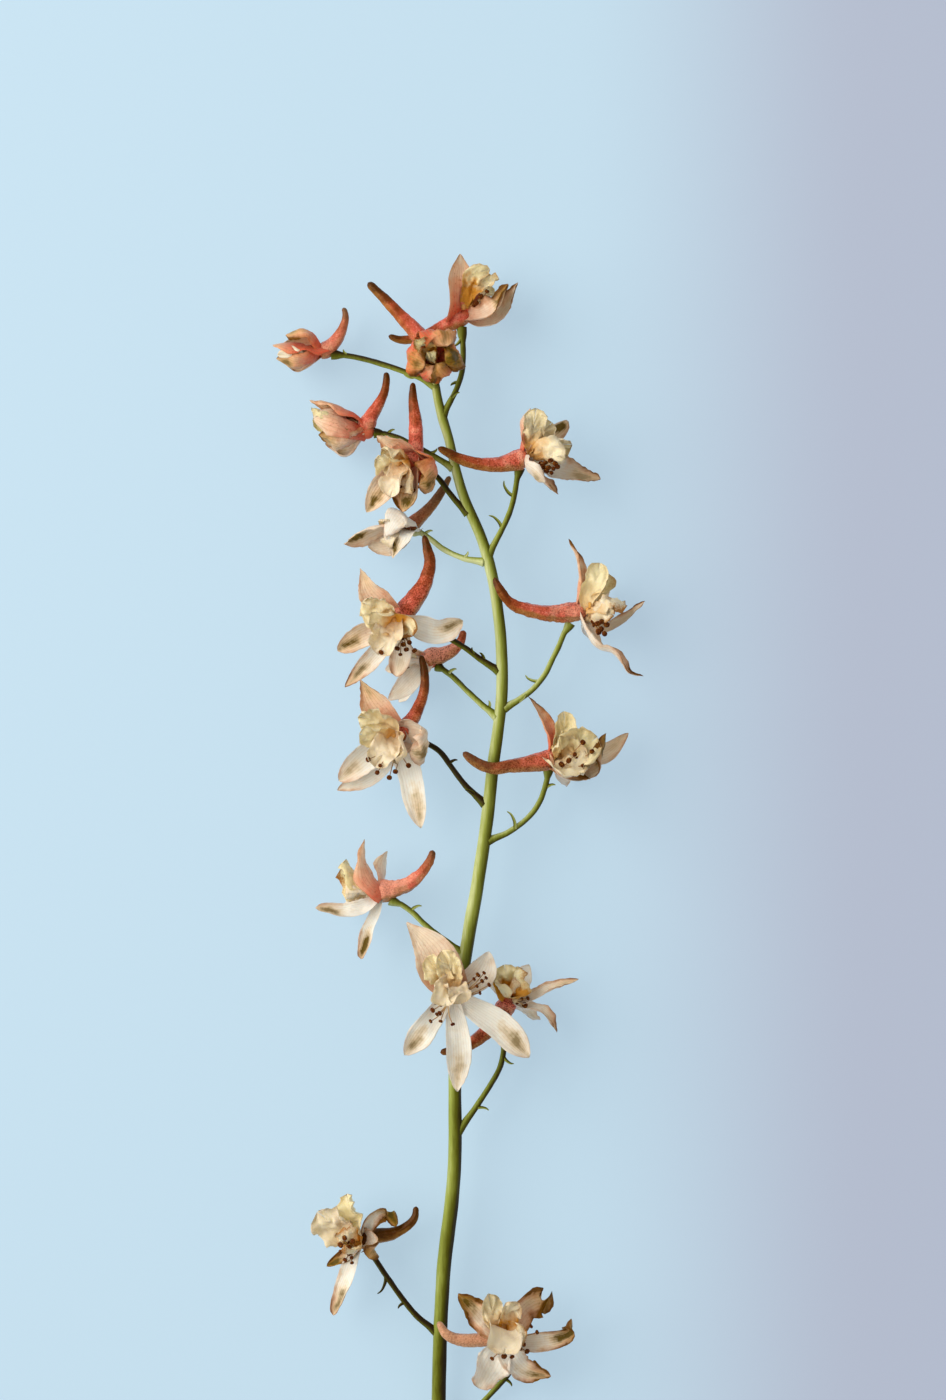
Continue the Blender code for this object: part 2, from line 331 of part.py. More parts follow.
                ("lower", 6.0, [(499, 1333, 5.0), (495, 1339, 7.6), (493, 1348, 8.8)]),
                ("lower", 6.0, [(509, 1334, 5.2), (513, 1341, 7.8), (514, 1350, 8.8)])],
        stamens=[(531, 1330, 4.4), (537, 1334, 4.2), (524, 1343, 4.2), (527, 1351, 4.0)],
        stalk=[(505, 1342, 10.6), (508, 1352, 8.0), (512, 1364, 6.2), (510, 1378, 4.9), (499, 1392, 4.0),
               (482, 1410, 3.9), (460, 1432, 4.3), (438, 1454, 3.9)],
        bracts=[((505, 1386), (512, 1392))]),
}


def clear_scene():
    for thing in list(bpy.data.objects):
        bpy.data.objects.remove(thing, do_unlink=True)


def place(x, y, height):
    """A pixel of the photograph at a height in millimetres, as a point of the part."""
    flat = Vector(((x - PHOTO_MIDDLE[0]) * PIXEL, (PHOTO_MIDDLE[1] - y) * PIXEL, height * MM))
    return flat + Vector(SPIKE_SHIFT)


def smooth_path(points, steps=12):
    """Dense Catmull-Rom points through the given points, with their running length."""
    ends = [points[0] * 2 - points[1]] + points + [points[-1] * 2 - points[-2]]
    dense = []
    for a, b, c, d in zip(ends, ends[1:], ends[2:], ends[3:]):
        for step in range(steps):
            t = step / steps
            dense.append(0.5 * (2 * b + (c - a) * t + (2 * a - 5 * b + 4 * c - d) * t * t
                                + (3 * b - a - 3 * c + d) * t * t * t))
    dense.append(points[-1].copy())
    lengths = [0.0]
    for before, after in zip(dense, dense[1:]):
        lengths.append(lengths[-1] + (after.xyz - before.xyz).length)
    return dense, lengths


def at(path, share):
    """Point and direction at a share of the path's length."""
    dense, lengths = path
    target = min(max(share, 0.0), 1.0) * lengths[-1]
    index = 1
    while index < len(dense) - 1 and lengths[index] < target:
        index += 1
    span = lengths[index] - lengths[index - 1]
    here = dense[index - 1].lerp(dense[index], (target - lengths[index - 1]) / span)
    first = dense[max(index - 4, 0)].xyz
    last = dense[min(index + 3, len(dense) - 1)].xyz
    return here, (last - first).normalized()


def tube(points, sides, rings, extra=0.0, crowding=1.0):
    """Tapered round body along points (x, y, z, radius), closed at both ends.

    A crowding under 1 draws the rings towards the far end.
    """
    path = smooth_path([Vector(point) for point in points])
    shape = bmesh.new()
    bmesh.ops.create_cone(shape, cap_ends=True, segments=sides, radius1=1, radius2=1, depth=1)
    upright = [edge for edge in shape.edges if abs(edge.verts[0].co.z - edge.verts[1].co.z) > 0.5]
    bmesh.ops.subdivide_edges(shape, edges=upright, cuts=rings - 1)
    for vertex in shape.verts:
        share = max(vertex.co.z + 0.5, 0.0) ** crowding
        here, along = at(path, share)
        sideways = along.cross(Vector((0, 0, 1))).normalized()
        upward = sideways.cross(along)
        radius = here.w + extra
        past_end = (share < 0.001) * -extra + (share > 0.999) * extra
        vertex.co = here.xyz + along * past_end + radius * (sideways * vertex.co.x + upward * vertex.co.y)
    shape.normal_update()
    bmesh.ops.recalc_face_normals(shape, faces=shape.faces)
    return shape


def knot(centre, radius, detail=1):
    """Small round body that other shapes grow out of."""
    shape = bmesh.new()
    bmesh.ops.create_icosphere(shape, subdivisions=detail, radius=radius)
    bmesh.ops.translate(shape, verts=shape.verts, vec=centre)
    return shape


def sepal_outline(share):
    """Half width of a sepal as a share of its widest, from claw to pointed tip."""
    if share < 0.5:
        return 0.26 + 0.74 * math.sin(math.pi * share) ** 1.5
    return 0.14 + 0.86 * math.cos(math.pi * (share - 0.5)) ** 0.8


def petal_outline(share):
    """Half width of a petal: a narrow claw that opens into a blunt lobe."""
    return 0.2 + 0.8 * math.sin(math.pi * min(share / 0.72, 1.0) / 2) - 0.42 * max(share - 0.72, 0) / 0.28


def blade(points, facing, width, outline, thickness, grid, cup, extra=0.0):
    """Thin leaf-like body round a midrib, its inner face towards the way the flower faces."""
    path = smooth_path(points)
    middle, direction = at(path, 0.6)
    outward = middle - points[0]
    outward = (outward - facing * outward.dot(facing)).normalized()
    across_blade = facing.cross(outward)
    shape = bmesh.new()
    bmesh.ops.create_grid(shape, x_segments=grid[0], y_segments=grid[1], size=1)
    bmesh.ops.triangulate(shape, faces=shape.faces)
    lifted = bmesh.ops.extrude_face_region(shape, geom=shape.faces[:])["geom"]
    upper = {item for item in lifted if isinstance(item, bmesh.types.BMVert)}
    for vertex in shape.verts:
        across, share = vertex.co.x, (vertex.co.y + 1) / 2
        here, along = at(path, share)
        sideways = (across_blade - along * across_blade.dot(along)).normalized()
        inward = along.cross(sideways)
        half = width / 2 * outline(share) + extra
        rise = cup * width / 2 * outline(share) * across * across
        level = thickness / 2 + extra
        if vertex not in upper:
            level = -level
        past_tip = extra if share > 0.999 else 0.0
        vertex.co = here + sideways * half * across + inward * (rise + level) + along * past_tip
    shape.normal_update()
    bmesh.ops.recalc_face_normals(shape, faces=shape.faces)
    return shape


def as_object(shape, name):
    mesh = bpy.data.meshes.new(name)
    shape.to_mesh(mesh)
    shape.free()
    thing = bpy.data.objects.new(name, mesh)
    bpy.context.scene.collection.objects.link(thing)
    return thing


def boolean(body, shapes, operation):
    """Joins the shapes to the body, or cuts them out of it, and applies the result.

    The exact solver leaves open edges where several thin blades cross at one root.
    """
    group = bpy.data.collections.new("operands")
    bpy.context.scene.collection.children.link(group)
    for number, shape in enumerate(shapes):
        piece = as_object(shape, "operand_%d" % number)
        bpy.context.scene.collection.objects.unlink(piece)
        group.objects.link(piece)
    modifier = body.modifiers.new("join", "BOOLEAN")
    modifier.operation = operation
    modifier.solver = "MANIFOLD"
    modifier.operand_type = "COLLECTION"
    modifier.collection = group
    evaluated = body.evaluated_get(bpy.context.evaluated_depsgraph_get())
    mesh = bpy.data.meshes.new_from_object(evaluated)
    body.modifiers.clear()
    body.data = mesh
    for piece in list(group.objects):
        bpy.data.objects.remove(piece, do_unlink=True)
    bpy.data.collections.remove(group)


def close_pinches(shape):
    """Shrinks to a point each short edge along which two folds of the surface touch."""
    pinched = [edge for edge in shape.edges if len(edge.link_faces) > 2]
    for edge in pinched:
        if edge.is_valid:
            middle = (edge.verts[0].co + edge.verts[1].co) / 2
            bmesh.ops.pointmerge(shape, verts=edge.verts[:], merge_co=middle)


def keep_largest(body):
    """Merges flat faces, and drops loose scraps and sealed hollows, so that one body is left."""
    shape = bmesh.new()
    shape.from_mesh(body.data)
    bmesh.ops.dissolve_limit(shape, angle_limit=FLAT_ANGLE, verts=shape.verts, edges=shape.edges)
    bmesh.ops.triangulate(shape, faces=shape.faces)
    close_pinches(shape)
    islands = []
    unseen = set(shape.faces)
    while unseen:
        island = []
        queue = [unseen.pop()]
        while queue:
            face = queue.pop()
            island.append(face)
            for edge in face.edges:
                for other in edge.link_faces:
                    if other in unseen:
                        unseen.remove(other)
                        queue.append(other)
        islands.append(island)
    islands.sort(key=len)
    scraps = [face for island in islands[:-1] for face in island]
    bmesh.ops.delete(shape, geom=scraps, context="FACES")
    shape.to_mesh(body.data)
    shape.free()


def finish(body, colour, roughness):
    keep_largest(body)
    material = bpy.data.materials.new(body.name)
    material.use_nodes = True
    surface = material.node_tree.nodes["Principled BSDF"]
    surface.inputs["Base Color"].default_value = (*colour, 1.0)
    surface.inputs["Roughness"].default_value = roughness
    surface.inputs["Metallic"].default_value = 0.0
    body.data.materials.clear()
    body.data.materials.append(material)
    body.data.shade_smooth()
    body.data.set_sharp_from_angle(angle=math.radians(50))


def joined(name, shapes, cutters=()):
    body = as_object(shapes[0], name)
    boolean(body, shapes[1:], "UNION")
    if cutters:
        boolean(body, cutters, "DIFFERENCE")
    return body


def stalk_points(bloom):
    """Flower stalk from its swollen end to inside the stem."""
    points = [place(*point) for point in bloom["stalk"]]
    radii = [RECEPTACLE, 1.0 * MM] + [0.85 * MM] * (len(points) - 3) + [1.0 * MM]
    return [(*point, radius) for point, radius in zip(points, radii)]


def bract_points(bloom, start, end):
    """Small pointed bract that leaves the stalk near a pixel and ends at another."""
    nearest = min(bloom["stalk"], key=lambda point: math.dist(point[:2], start))
    root = place(start[0], start[1], nearest[2])
    tip = place(end[0], end[1], nearest[2] + 0.6)
    return [(*root, 0.5 * MM), (*root.lerp(tip, 0.5), 0.45 * MM), (*tip, 0.3 * MM)]


def throat_of(bloom):
    return place(*bloom["throat"])


def relative(bloom, point):
    """A point given by photo pixel and height above the flower's throat."""
    return place(point[0], point[1], bloom["throat"][2] + point[2])


def facing_of(bloom):
    return Vector(bloom["facing"]).normalized()


def upward_in(bloom):
    """Direction from the throat towards the upper sepal, which carries the spur."""
    facing = facing_of(bloom)
    total = Vector()
    for name, width, path in bloom["sepals"]:
        if name.startswith("upper"):
            total += (relative(bloom, path[0]) - throat_of(bloom)).normalized()
    return (total - facing * total.dot(facing)).normalized()


def calyx_shapes(bloom, extra=0.0):
    """Five sepals and the spur, all rooted in one knot."""
    throat = throat_of(bloom)
    shapes = [knot(throat, CALYX_CORE + extra)]
    spur = [(*relative(bloom, point), point[3] * MM) for point in bloom["spur"]]
    shapes.append(tube(spur, SPUR_SIDES, SPUR_RINGS, extra))
    for name, width, path in bloom["sepals"]:
        points = [throat] + [relative(bloom, point) for point in path]
        shapes.append(blade(points, facing_of(bloom), width * MM, sepal_outline, SEPAL_THICKNESS,
                            SEPAL_GRID, 0.35, extra))
    return shapes


def petal_shapes(bloom, extra=0.0):
    """Small petals that open from the upper part of the throat."""
    root = throat_of(bloom) + facing_of(bloom) * 3.4 * MM + upward_in(bloom) * 1.4 * MM
    shapes = [knot(root, PETAL_CORE + extra)]
    for name, width, path in bloom["petals"]:
        points = [root] + [relative(bloom, point) for point in path]
        shapes.append(blade(points, facing_of(bloom), width * MM, petal_outline, PETAL_THICKNESS,
                            PETAL_GRID, 0.45, extra))
    return shapes


def stamen_shapes(bloom, extra=0.0):
    """Filaments that swell to an anther, from the lower part of the throat."""
    root = throat_of(bloom) + facing_of(bloom) * 3.2 * MM - upward_in(bloom) * 1.8 * MM
    shapes = [knot(root, STAMEN_CORE + extra)]
    for point in bloom["stamens"]:
        anther = relative(bloom, point)
        middle = root.lerp(anther, 0.4) - upward_in(bloom) * 0.5 * MM
        neck = root.lerp(anther, 0.7)
        tip = root.lerp(anther, 1.15)
        filament = [(*root, FILAMENT_RADIUS), (*middle, FILAMENT_RADIUS), (*neck, FILAMENT_RADIUS),
                    (*anther, ANTHER_RADIUS), (*tip, FILAMENT_RADIUS)]
        shapes.append(tube(filament, STAMEN_SIDES, STAMEN_RINGS, extra, 0.5))
    return shapes


def make_stem():
    """The green stem with every flower stalk and bract grown onto it."""
    line = [(*place(x, y, height), radius * MM) for x, y, height, radius in STEM]
    shapes = [tube(line, STEM_SIDES, STEM_RINGS)]
    for bloom in BLOOMS.values():
        shapes.append(tube(stalk_points(bloom), STALK_SIDES, STALK_RINGS))
        for start, end in bloom["bracts"]:
            shapes.append(tube(bract_points(bloom, start, end), BRACT_SIDES, 2))
    finish(joined("stem", shapes), (0.25, 0.28, 0.08), 0.6)


def make_bloom(name, bloom):
    stamens = joined(name + "_stamens", stamen_shapes(bloom))
    finish(stamens, (0.16, 0.05, 0.02), 0.65)
    around = [tube(stalk_points(bloom), STALK_SIDES, STALK_RINGS, GAP)] + stamen_shapes(bloom, GAP)
    calyx = joined(name + "_calyx", calyx_shapes(bloom), around)
    finish(calyx, (0.75, 0.48, 0.38), 0.55)
    around = calyx_shapes(bloom, GAP) + stamen_shapes(bloom, GAP)
    petals = joined(name + "_petals", petal_shapes(bloom), around)
    finish(petals, (0.88, 0.76, 0.48), 0.6)


def main():
    clear_scene()
    make_stem()
    for name, bloom in BLOOMS.items():
        make_bloom(name, bloom)


main()
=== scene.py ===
"""A cut delphinium spike lying on a pale surface: its finer shapes, finishes and light.

Units are metres. The spike runs along Y with its tip at +Y, and +Z points up from the surface,
which is also the way the camera looks back.
"""

import math
import random
from bisect import bisect_left

import bmesh
import bpy
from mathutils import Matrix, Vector, noise


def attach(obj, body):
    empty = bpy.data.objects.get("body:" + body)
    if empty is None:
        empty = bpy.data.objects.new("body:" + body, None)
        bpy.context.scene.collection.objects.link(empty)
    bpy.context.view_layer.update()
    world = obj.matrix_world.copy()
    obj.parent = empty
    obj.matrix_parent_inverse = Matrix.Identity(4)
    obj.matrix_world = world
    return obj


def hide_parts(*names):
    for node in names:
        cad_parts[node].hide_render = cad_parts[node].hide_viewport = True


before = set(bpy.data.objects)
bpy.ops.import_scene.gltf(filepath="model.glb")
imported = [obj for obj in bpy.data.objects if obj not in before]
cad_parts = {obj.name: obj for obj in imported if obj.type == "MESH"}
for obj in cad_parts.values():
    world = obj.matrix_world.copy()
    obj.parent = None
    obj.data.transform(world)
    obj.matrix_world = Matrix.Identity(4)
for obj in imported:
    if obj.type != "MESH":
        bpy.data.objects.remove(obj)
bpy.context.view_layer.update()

# The stem
# A living delphinium stem: green, grown as one body with its flower stalks, 2.3 mm thick at its tip
# and 4.5 mm at its foot, faintly ribbed, a little bent where the stalks leave it and cut square below.
MM = 0.001
PIXEL = 0.3 * MM                                # one pixel of the photograph the flowers were placed on
PHOTO_MIDDLE = (473, 700)
SPIKE_SHIFT = Vector((4.3, 50.25, 0.1)) * MM    # from the photograph's middle to the part's own origin
UP = Vector((0, 0, 1))
STEM = [                                        # pixels, then height and radius in millimetres
    (434, 376, 17.2, 1.15), (438, 400, 17.5, 1.3), (443, 420, 17.5, 1.45), (449, 440, 17.5, 1.4),
    (456, 470, 17.2, 1.4), (465, 500, 17, 1.5), (482, 540, 17, 1.6), (493, 580, 17, 1.7),
    (499, 620, 17, 1.7), (501.5, 650, 17, 1.75), (502, 690, 17, 1.8), (498, 730, 17, 1.8),
    (492.5, 770, 17, 1.9), (487, 820, 17, 1.95), (477.5, 885, 17, 1.95), (469.5, 930, 16.9, 2),
    (459, 1000, 16.5, 1.95), (455, 1070, 16, 1.9), (455, 1150, 14.6, 1.95), (452, 1200, 13.5, 2.05),
    (447, 1240, 12.4, 2.1), (443, 1280, 11.2, 2.1), (440, 1340, 9.3, 2.1), (438.5, 1400, 6.5, 2.15),
    (438, 1480, 2.25, 2.25),
]
STEM_SIDES, STEM_RINGS = 28, 300
STEM_TONE = (0.35, 0, 1)                        # its green, nothing, and how far it ages downwards


def place(x, y, height):
    """A pixel of the photograph at a height in millimetres, as a point of the part."""
    middle_x, middle_y = PHOTO_MIDDLE
    return Vector(((x - middle_x) * PIXEL, (middle_y - y) * PIXEL, height * MM)) + SPIKE_SHIFT


def smooth_path(points, steps=14):
    """Dense points of a smooth curve through the given ones, with their running length."""
    ends = [points[0] * 2 - points[1]] + points + [points[-1] * 2 - points[-2]]
    dense = []
    for a, b, c, d in zip(ends, ends[1:], ends[2:], ends[3:]):
        for step in range(steps):
            t = step / steps
            dense.append(0.5 * (2 * b + (c - a) * t + (2 * a - 5 * b + 4 * c - d) * t * t
                                + (3 * b - a - 3 * c + d) * t * t * t))
    dense.append(points[-1].copy())
    lengths = [0]
    for before, after in zip(dense, dense[1:]):
        lengths.append(lengths[-1] + (after.xyz - before.xyz).length)
    return dense, lengths


def at(path, share):
    """Point and direction at a share of a path's length."""
    dense, lengths = path
    target = min(max(share, 0), 1) * lengths[-1]
    high = min(max(bisect_left(lengths, target), 1), len(dense) - 1)
    low = high - 1
    span = max(lengths[high] - lengths[low], 1e-9)
    here = dense[low].lerp(dense[high], (target - lengths[low]) / span)
    direction = dense[min(high + 2, len(dense) - 1)].xyz - dense[max(low - 2, 0)].xyz
    return here, direction.normalized()


def mark(shape, tone, place_on_piece):
    """Writes on each point its place across and along its piece, and the piece's tone, for the finishes."""
    spot, look = [shape.verts.layers.float_color.new(name) for name in ("spot", "tone")]
    for vertex in shape.verts:
        vertex[spot] = (*place_on_piece(vertex.co), 0, 1)
        vertex[look] = (*tone, 1)


def rounded(share):
    """Radius at a share of the way into a round end, which closes to a small flat."""
    return math.sqrt(max(1 - (1 - share) ** 2, 0.004))


def tube(points, sides, rings, tone=(0, 0, 0), relief=None, lip=0, blunt=0, slot=0):
    """Tapered round body along points (x, y, z, radius), closed at both ends.

    A lip rounds off that share of its length at the near end, and blunt at the far end.
    """
    path = smooth_path([Vector(point) for point in points])
    shape = bmesh.new()
    bmesh.ops.create_cone(shape, cap_ends=True, segments=sides, radius1=1, radius2=1, depth=1)
    upright = [edge for edge in shape.edges if abs(edge.verts[0].co.z - edge.verts[1].co.z) > 0.5]
    bmesh.ops.subdivide_edges(shape, edges=upright, cuts=rings - 1)
    mark(shape, tone, lambda spot: (math.atan2(spot.y, spot.x) / math.tau + 0.5, max(spot.z + 0.5, 0)))
    for vertex in shape.verts:
        angle, share = math.atan2(vertex.co.y, vertex.co.x), max(vertex.co.z + 0.5, 0)
        here, direction = at(path, share)
        sideways = direction.cross(UP).normalized()
        ray = sideways * vertex.co.x + sideways.cross(direction) * vertex.co.y
        radius = here.w
        if share > 1 - blunt:
            radius *= rounded((1 - share) / blunt)
        if share < lip:
            radius *= rounded(share / lip)
        if relief:
            radius *= relief(angle, share, here.xyz + ray * radius)
        vertex.co = here.xyz + ray * radius
    for face in shape.faces:
        face.material_index = slot
    shape.normal_update()
    bmesh.ops.recalc_face_normals(shape, faces=shape.faces)
    return shape


def linear(code):
    """Linear colour of an sRGB hex code."""
    parts = [int(code[index:index + 2], 16) / 255 for index in (1, 3, 5)]
    return (*[part / 12.92 if part <= 0.04045 else ((part + 0.055) / 1.055) ** 2.4 for part in parts], 1)


def feed(tree, node, inputs):
    """Sets inputs of a shader node to a number or a colour, or links them to another node's output."""
    for name, value in inputs.items() if isinstance(inputs, dict) else enumerate(inputs):
        if isinstance(value, bpy.types.NodeSocket):
            tree.links.new(value, node.inputs[name])
        else:
            node.inputs[name].default_value = value


def add(tree, kind, inputs=(), out=0, stops=(), **settings):
    """Adds a shader node with its settings and links, and gives back its output."""
    made = tree.nodes.new("ShaderNode" + kind)
    for name, value in settings.items():
        setattr(made, name, value)
    feed(tree, made, inputs)
    while stops and len(made.color_ramp.elements) < len(stops):
        made.color_ramp.elements.new(0.5)
    for index, (position, colour) in enumerate(stops):
        made.color_ramp.elements[index].position = position
        made.color_ramp.elements[index].color = linear(colour)
    return made.outputs[out]


def finish_of(name):
    """A new material with its node tree and its shader."""
    material = bpy.data.materials.new(name)
    material.use_nodes = True
    return material, material.node_tree, material.node_tree.nodes["Principled BSDF"]


def readings(tree):
    """What a tissue reads: a point's place on the plant and on its own piece, and the piece's tone."""
    where = add(tree, "TexCoord", out="Object")
    spot, tone = [add(tree, "SeparateColor", [add(tree, "Attribute", attribute_name=name)], out=slice(0, 3))
                  for name in ("spot", "tone")]
    return where, spot, tone


def from_middle(tree, across):
    """How far a point lies from the middle of its piece's width: nought there, and one at its edges."""
    doubled = add(tree, "Math", [across, 2, -1], operation="MULTIPLY_ADD")
    return add(tree, "Math", [doubled], operation="ABSOLUTE")


# Living stem tissue: satin, a little translucent, olive green. Paler streaks run along it, 1.6 to the
# millimetre, over patches 22 mm wide. Its green runs from light to near black as each piece's tone gives,
# and on the stem it darkens towards its foot. Painted shade darkens one flank, the stem's right one,
# and painted light pales the other, as if lit from the lamp at the left.
stem_green, tree, surface = finish_of("living green stem")
where, (around, along, _), (green, _, ages) = readings(tree)
stretched = add(tree, "Mapping", {"Vector": where, "Scale": (1, 0.12, 1)})
streaks = add(tree, "TexNoise", {"Vector": stretched, "Scale": 1.6 / MM, "Detail": 3})
patches = add(tree, "TexNoise", {"Vector": where, "Scale": 0.045 / MM, "Detail": 2})
depth = add(tree, "Math", [streaks, 0.28, -0.14], operation="MULTIPLY_ADD")
drift = add(tree, "Math", [patches, 0.5, -0.25], operation="MULTIPLY_ADD")
darker = add(tree, "Math", [depth, drift], operation="ADD")
# Painted shade on one flank and painted light on the other, standing in for the lamp at the left.
painted_flank_shading = add(tree, "MapRange", [from_middle(tree, around), 0.3, 0.85, -0.24, 0.4])
darker = add(tree, "Math", [darker, painted_flank_shading], operation="ADD")
older = add(tree, "MapRange", [along, 0.5, 0.9, 0, 0.3])
darker = add(tree, "Math", [older, ages, darker], operation="MULTIPLY_ADD")
shade = add(tree, "Math", [green, darker], operation="ADD", use_clamp=True)
colour = add(tree, "ValToRGB", [shade],
             stops=[(0, "#C6CE9A"), (0.3, "#909A44"), (0.6, "#5A5E0E"), (0.85, "#3A3204"), (1, "#281A02")])
furrows = add(tree, "Bump", {"Strength": 0.5, "Distance": 0.06 * MM, "Height": streaks})
feed(tree, surface, {
    "Base Color": colour, "Normal": furrows, "Roughness": 0.45, "Specular IOR Level": 0.12,
    "Subsurface Weight": 0.12, "Subsurface Radius": (0.9, 1, 0.4), "Subsurface Scale": 0.6 * MM})


def stem_relief(angle, share, point):
    """Six soft ribs that wind a little, and lumps 7 mm long."""
    return 1 + 0.035 * math.cos(6 * angle + 9 * share) + 0.05 * noise.noise(point * (0.14 / MM))


green_shapes = [tube([(*place(x, y, height), radius * MM) for x, y, height, radius in STEM],
                     STEM_SIDES, STEM_RINGS, STEM_TONE, stem_relief)]

# The cut end
# The lower end shows its cut face: a paler round pith inside the green rind. The rind dries back
# first, so the pith stands about 0.1 mm proud of it.
PITH_RADIUS = 1.7 * MM
PITH_RINGS = 4
pith_ends = [place(*STEM[-1][:3]) + Vector((0, along, 0)) * MM for along in (0.4, -0.12)]
green_shapes.append(tube([(*end, PITH_RADIUS) for end in pith_ends], STEM_SIDES, PITH_RINGS))

# Flower stalks
# Each flower hangs on a stalk 1.7 mm thick that grows out of the stem. It flares where it joins and
# swells under the flower, and most stalks carry one to three thin bracts whose tips curl.
STALK_SIDES, STALK_RINGS = 16, 70
STALK_RADIUS = 0.84                             # this and the next radii are in millimetres
STALK_SWELLING = ((0, 1.6), (0.35, 1.4), (0.75, 0.95), (1, 0.85))    # share of its first stretch, radius
STALK_FLARE = ((0, 0.9), (0.55, 1.08), (1, 1.5))                     # share of its last stretch, radius
BRACT_SIDES, BRACT_RINGS = 8, 22
BRACT_LINE = ((0, 0, 0.55), (0.35, 0.25, 0.5), (0.8, 0.22, 0.34), (1.08, -0.1, 0.14))  # on, aside, radius
BRACT_RISE = 0.8                                # millimetres from its root up to its tip
BRACT_CURL = 0.5                                # how far it bows aside, as a share of its length


def stalk_relief(angle, share, point):
    """Five shallow ribs that wind a little, and lumps 2.4 mm long."""
    return 1 + 0.05 * math.cos(5 * angle + 6 * share) + 0.1 * noise.noise(point * (0.42 / MM))


def grow_stalk(points, tone):
    """A flower stalk from inside its flower to inside the stem; tone is (flower end, stem end)."""
    spine = [place(*point) for point in points]
    line = [(*spine[0].lerp(spine[1], share), radius * MM) for share, radius in STALK_SWELLING]
    line += [(*spot, STALK_RADIUS * MM) for spot in spine[2:-2]]
    line += [(*spine[-2].lerp(spine[-1], share), radius * MM) for share, radius in STALK_FLARE]
    shape = tube(line, STALK_SIDES, STALK_RINGS, relief=stalk_relief)
    spot, look = [shape.verts.layers.float_color[name] for name in ("spot", "tone")]
    flower_end, stem_end = tone
    for vertex in shape.verts:
        vertex[look] = (flower_end + (stem_end - flower_end) * vertex[spot][1], 0, 0, 1)
    green_shapes.append(shape)


def grow_bract(points, start, end, tone, curl):
    """A thin pointed bract from a stalk to a tip, whose last part curls over."""
    height = min(points, key=lambda point: math.dist(point[:2], start))[2]
    root = place(*start, height)
    along = place(*end, height + BRACT_RISE) - root
    side = along.cross(UP) * curl
    line = [(*(root + along * ahead + side * aside), radius * MM) for ahead, aside, radius in BRACT_LINE]
    green_shapes.append(tube(line, BRACT_SIDES, BRACT_RINGS, (tone, 0, 0), blunt=0.1))


# What every flower is made of
# Five sepals spread round a throat, thin and wilting like damp tissue, their edges curled and a
# brown-green mark near each tip. The upper one runs back into the spur, a soft tapering horn.
SEPAL_GRID = (14, 30)
SEPAL_THICKNESS = 0.2 * MM
SPUR_SIDES, SPUR_RINGS = 24, 70
SPUR_START = 1.8 * MM                           # how far in front of the throat the spur's body starts
SPUR_ROUNDING = 0.05
CALYX_CORE = 2.2 * MM
UPPER_SEPAL_BACK = 1.2 * MM                     # how far the upper sepal grows out behind the throat
FOLDS_ACROSS, FOLDS_ALONG = 0.42 / MM, 0.3 / MM   # folds lie 2.4 mm apart across a blade, 3.3 mm along
MIDRIB_DEPTH = 0.12 * MM
MIDRIB_WIDTH, HEM_START, TIP_WIDTH = 0.12, 0.7, 0.03    # shares of a blade's half width
WAVES = (1.3, 1.75, 2.2)                        # waves along the edges of one blade, the next, the one after
EDGE_LAG = 2.4                                  # radians by which its two edges wave out of step


def sepal(kind, width, points, tints, cup=0.7, twist=0, peak=0.55, tip=0.75, ripple=0.16, crumple=0.4,
          claw=0.5, hem=0.1, toward=None):
    """One sepal: its width in millimetres and its midrib, pixels with heights above the throat.

    Its tints are how coral it is, how strong its olive mark and how dried its edge. The rest is curl:
    cup across, twist along, where it is widest, how blunt its tip, waves, folds, claw and rolled hem.
    """
    return dict(kind=kind, width=width * MM, points=points, tone=tints, cup=cup, twist=twist, peak=peak,
                tip=tip, ripple=ripple, crumple=crumple * MM, claw=claw, notch=0, hem=hem, toward=toward)


def outline(share, blade):
    """Half width as a share of the widest: a narrow claw, the widest place, then the tip."""
    claw, peak = blade["claw"], blade["peak"]
    if share < peak:
        return claw + (1 - claw) * math.sin(math.pi / 2 * share / peak) ** 1.4
    narrowing = max(math.cos(math.pi / 2 * (share - peak) / (1 - peak)), 0) ** blade["tip"]
    return TIP_WIDTH + (1 - TIP_WIDTH) * narrowing


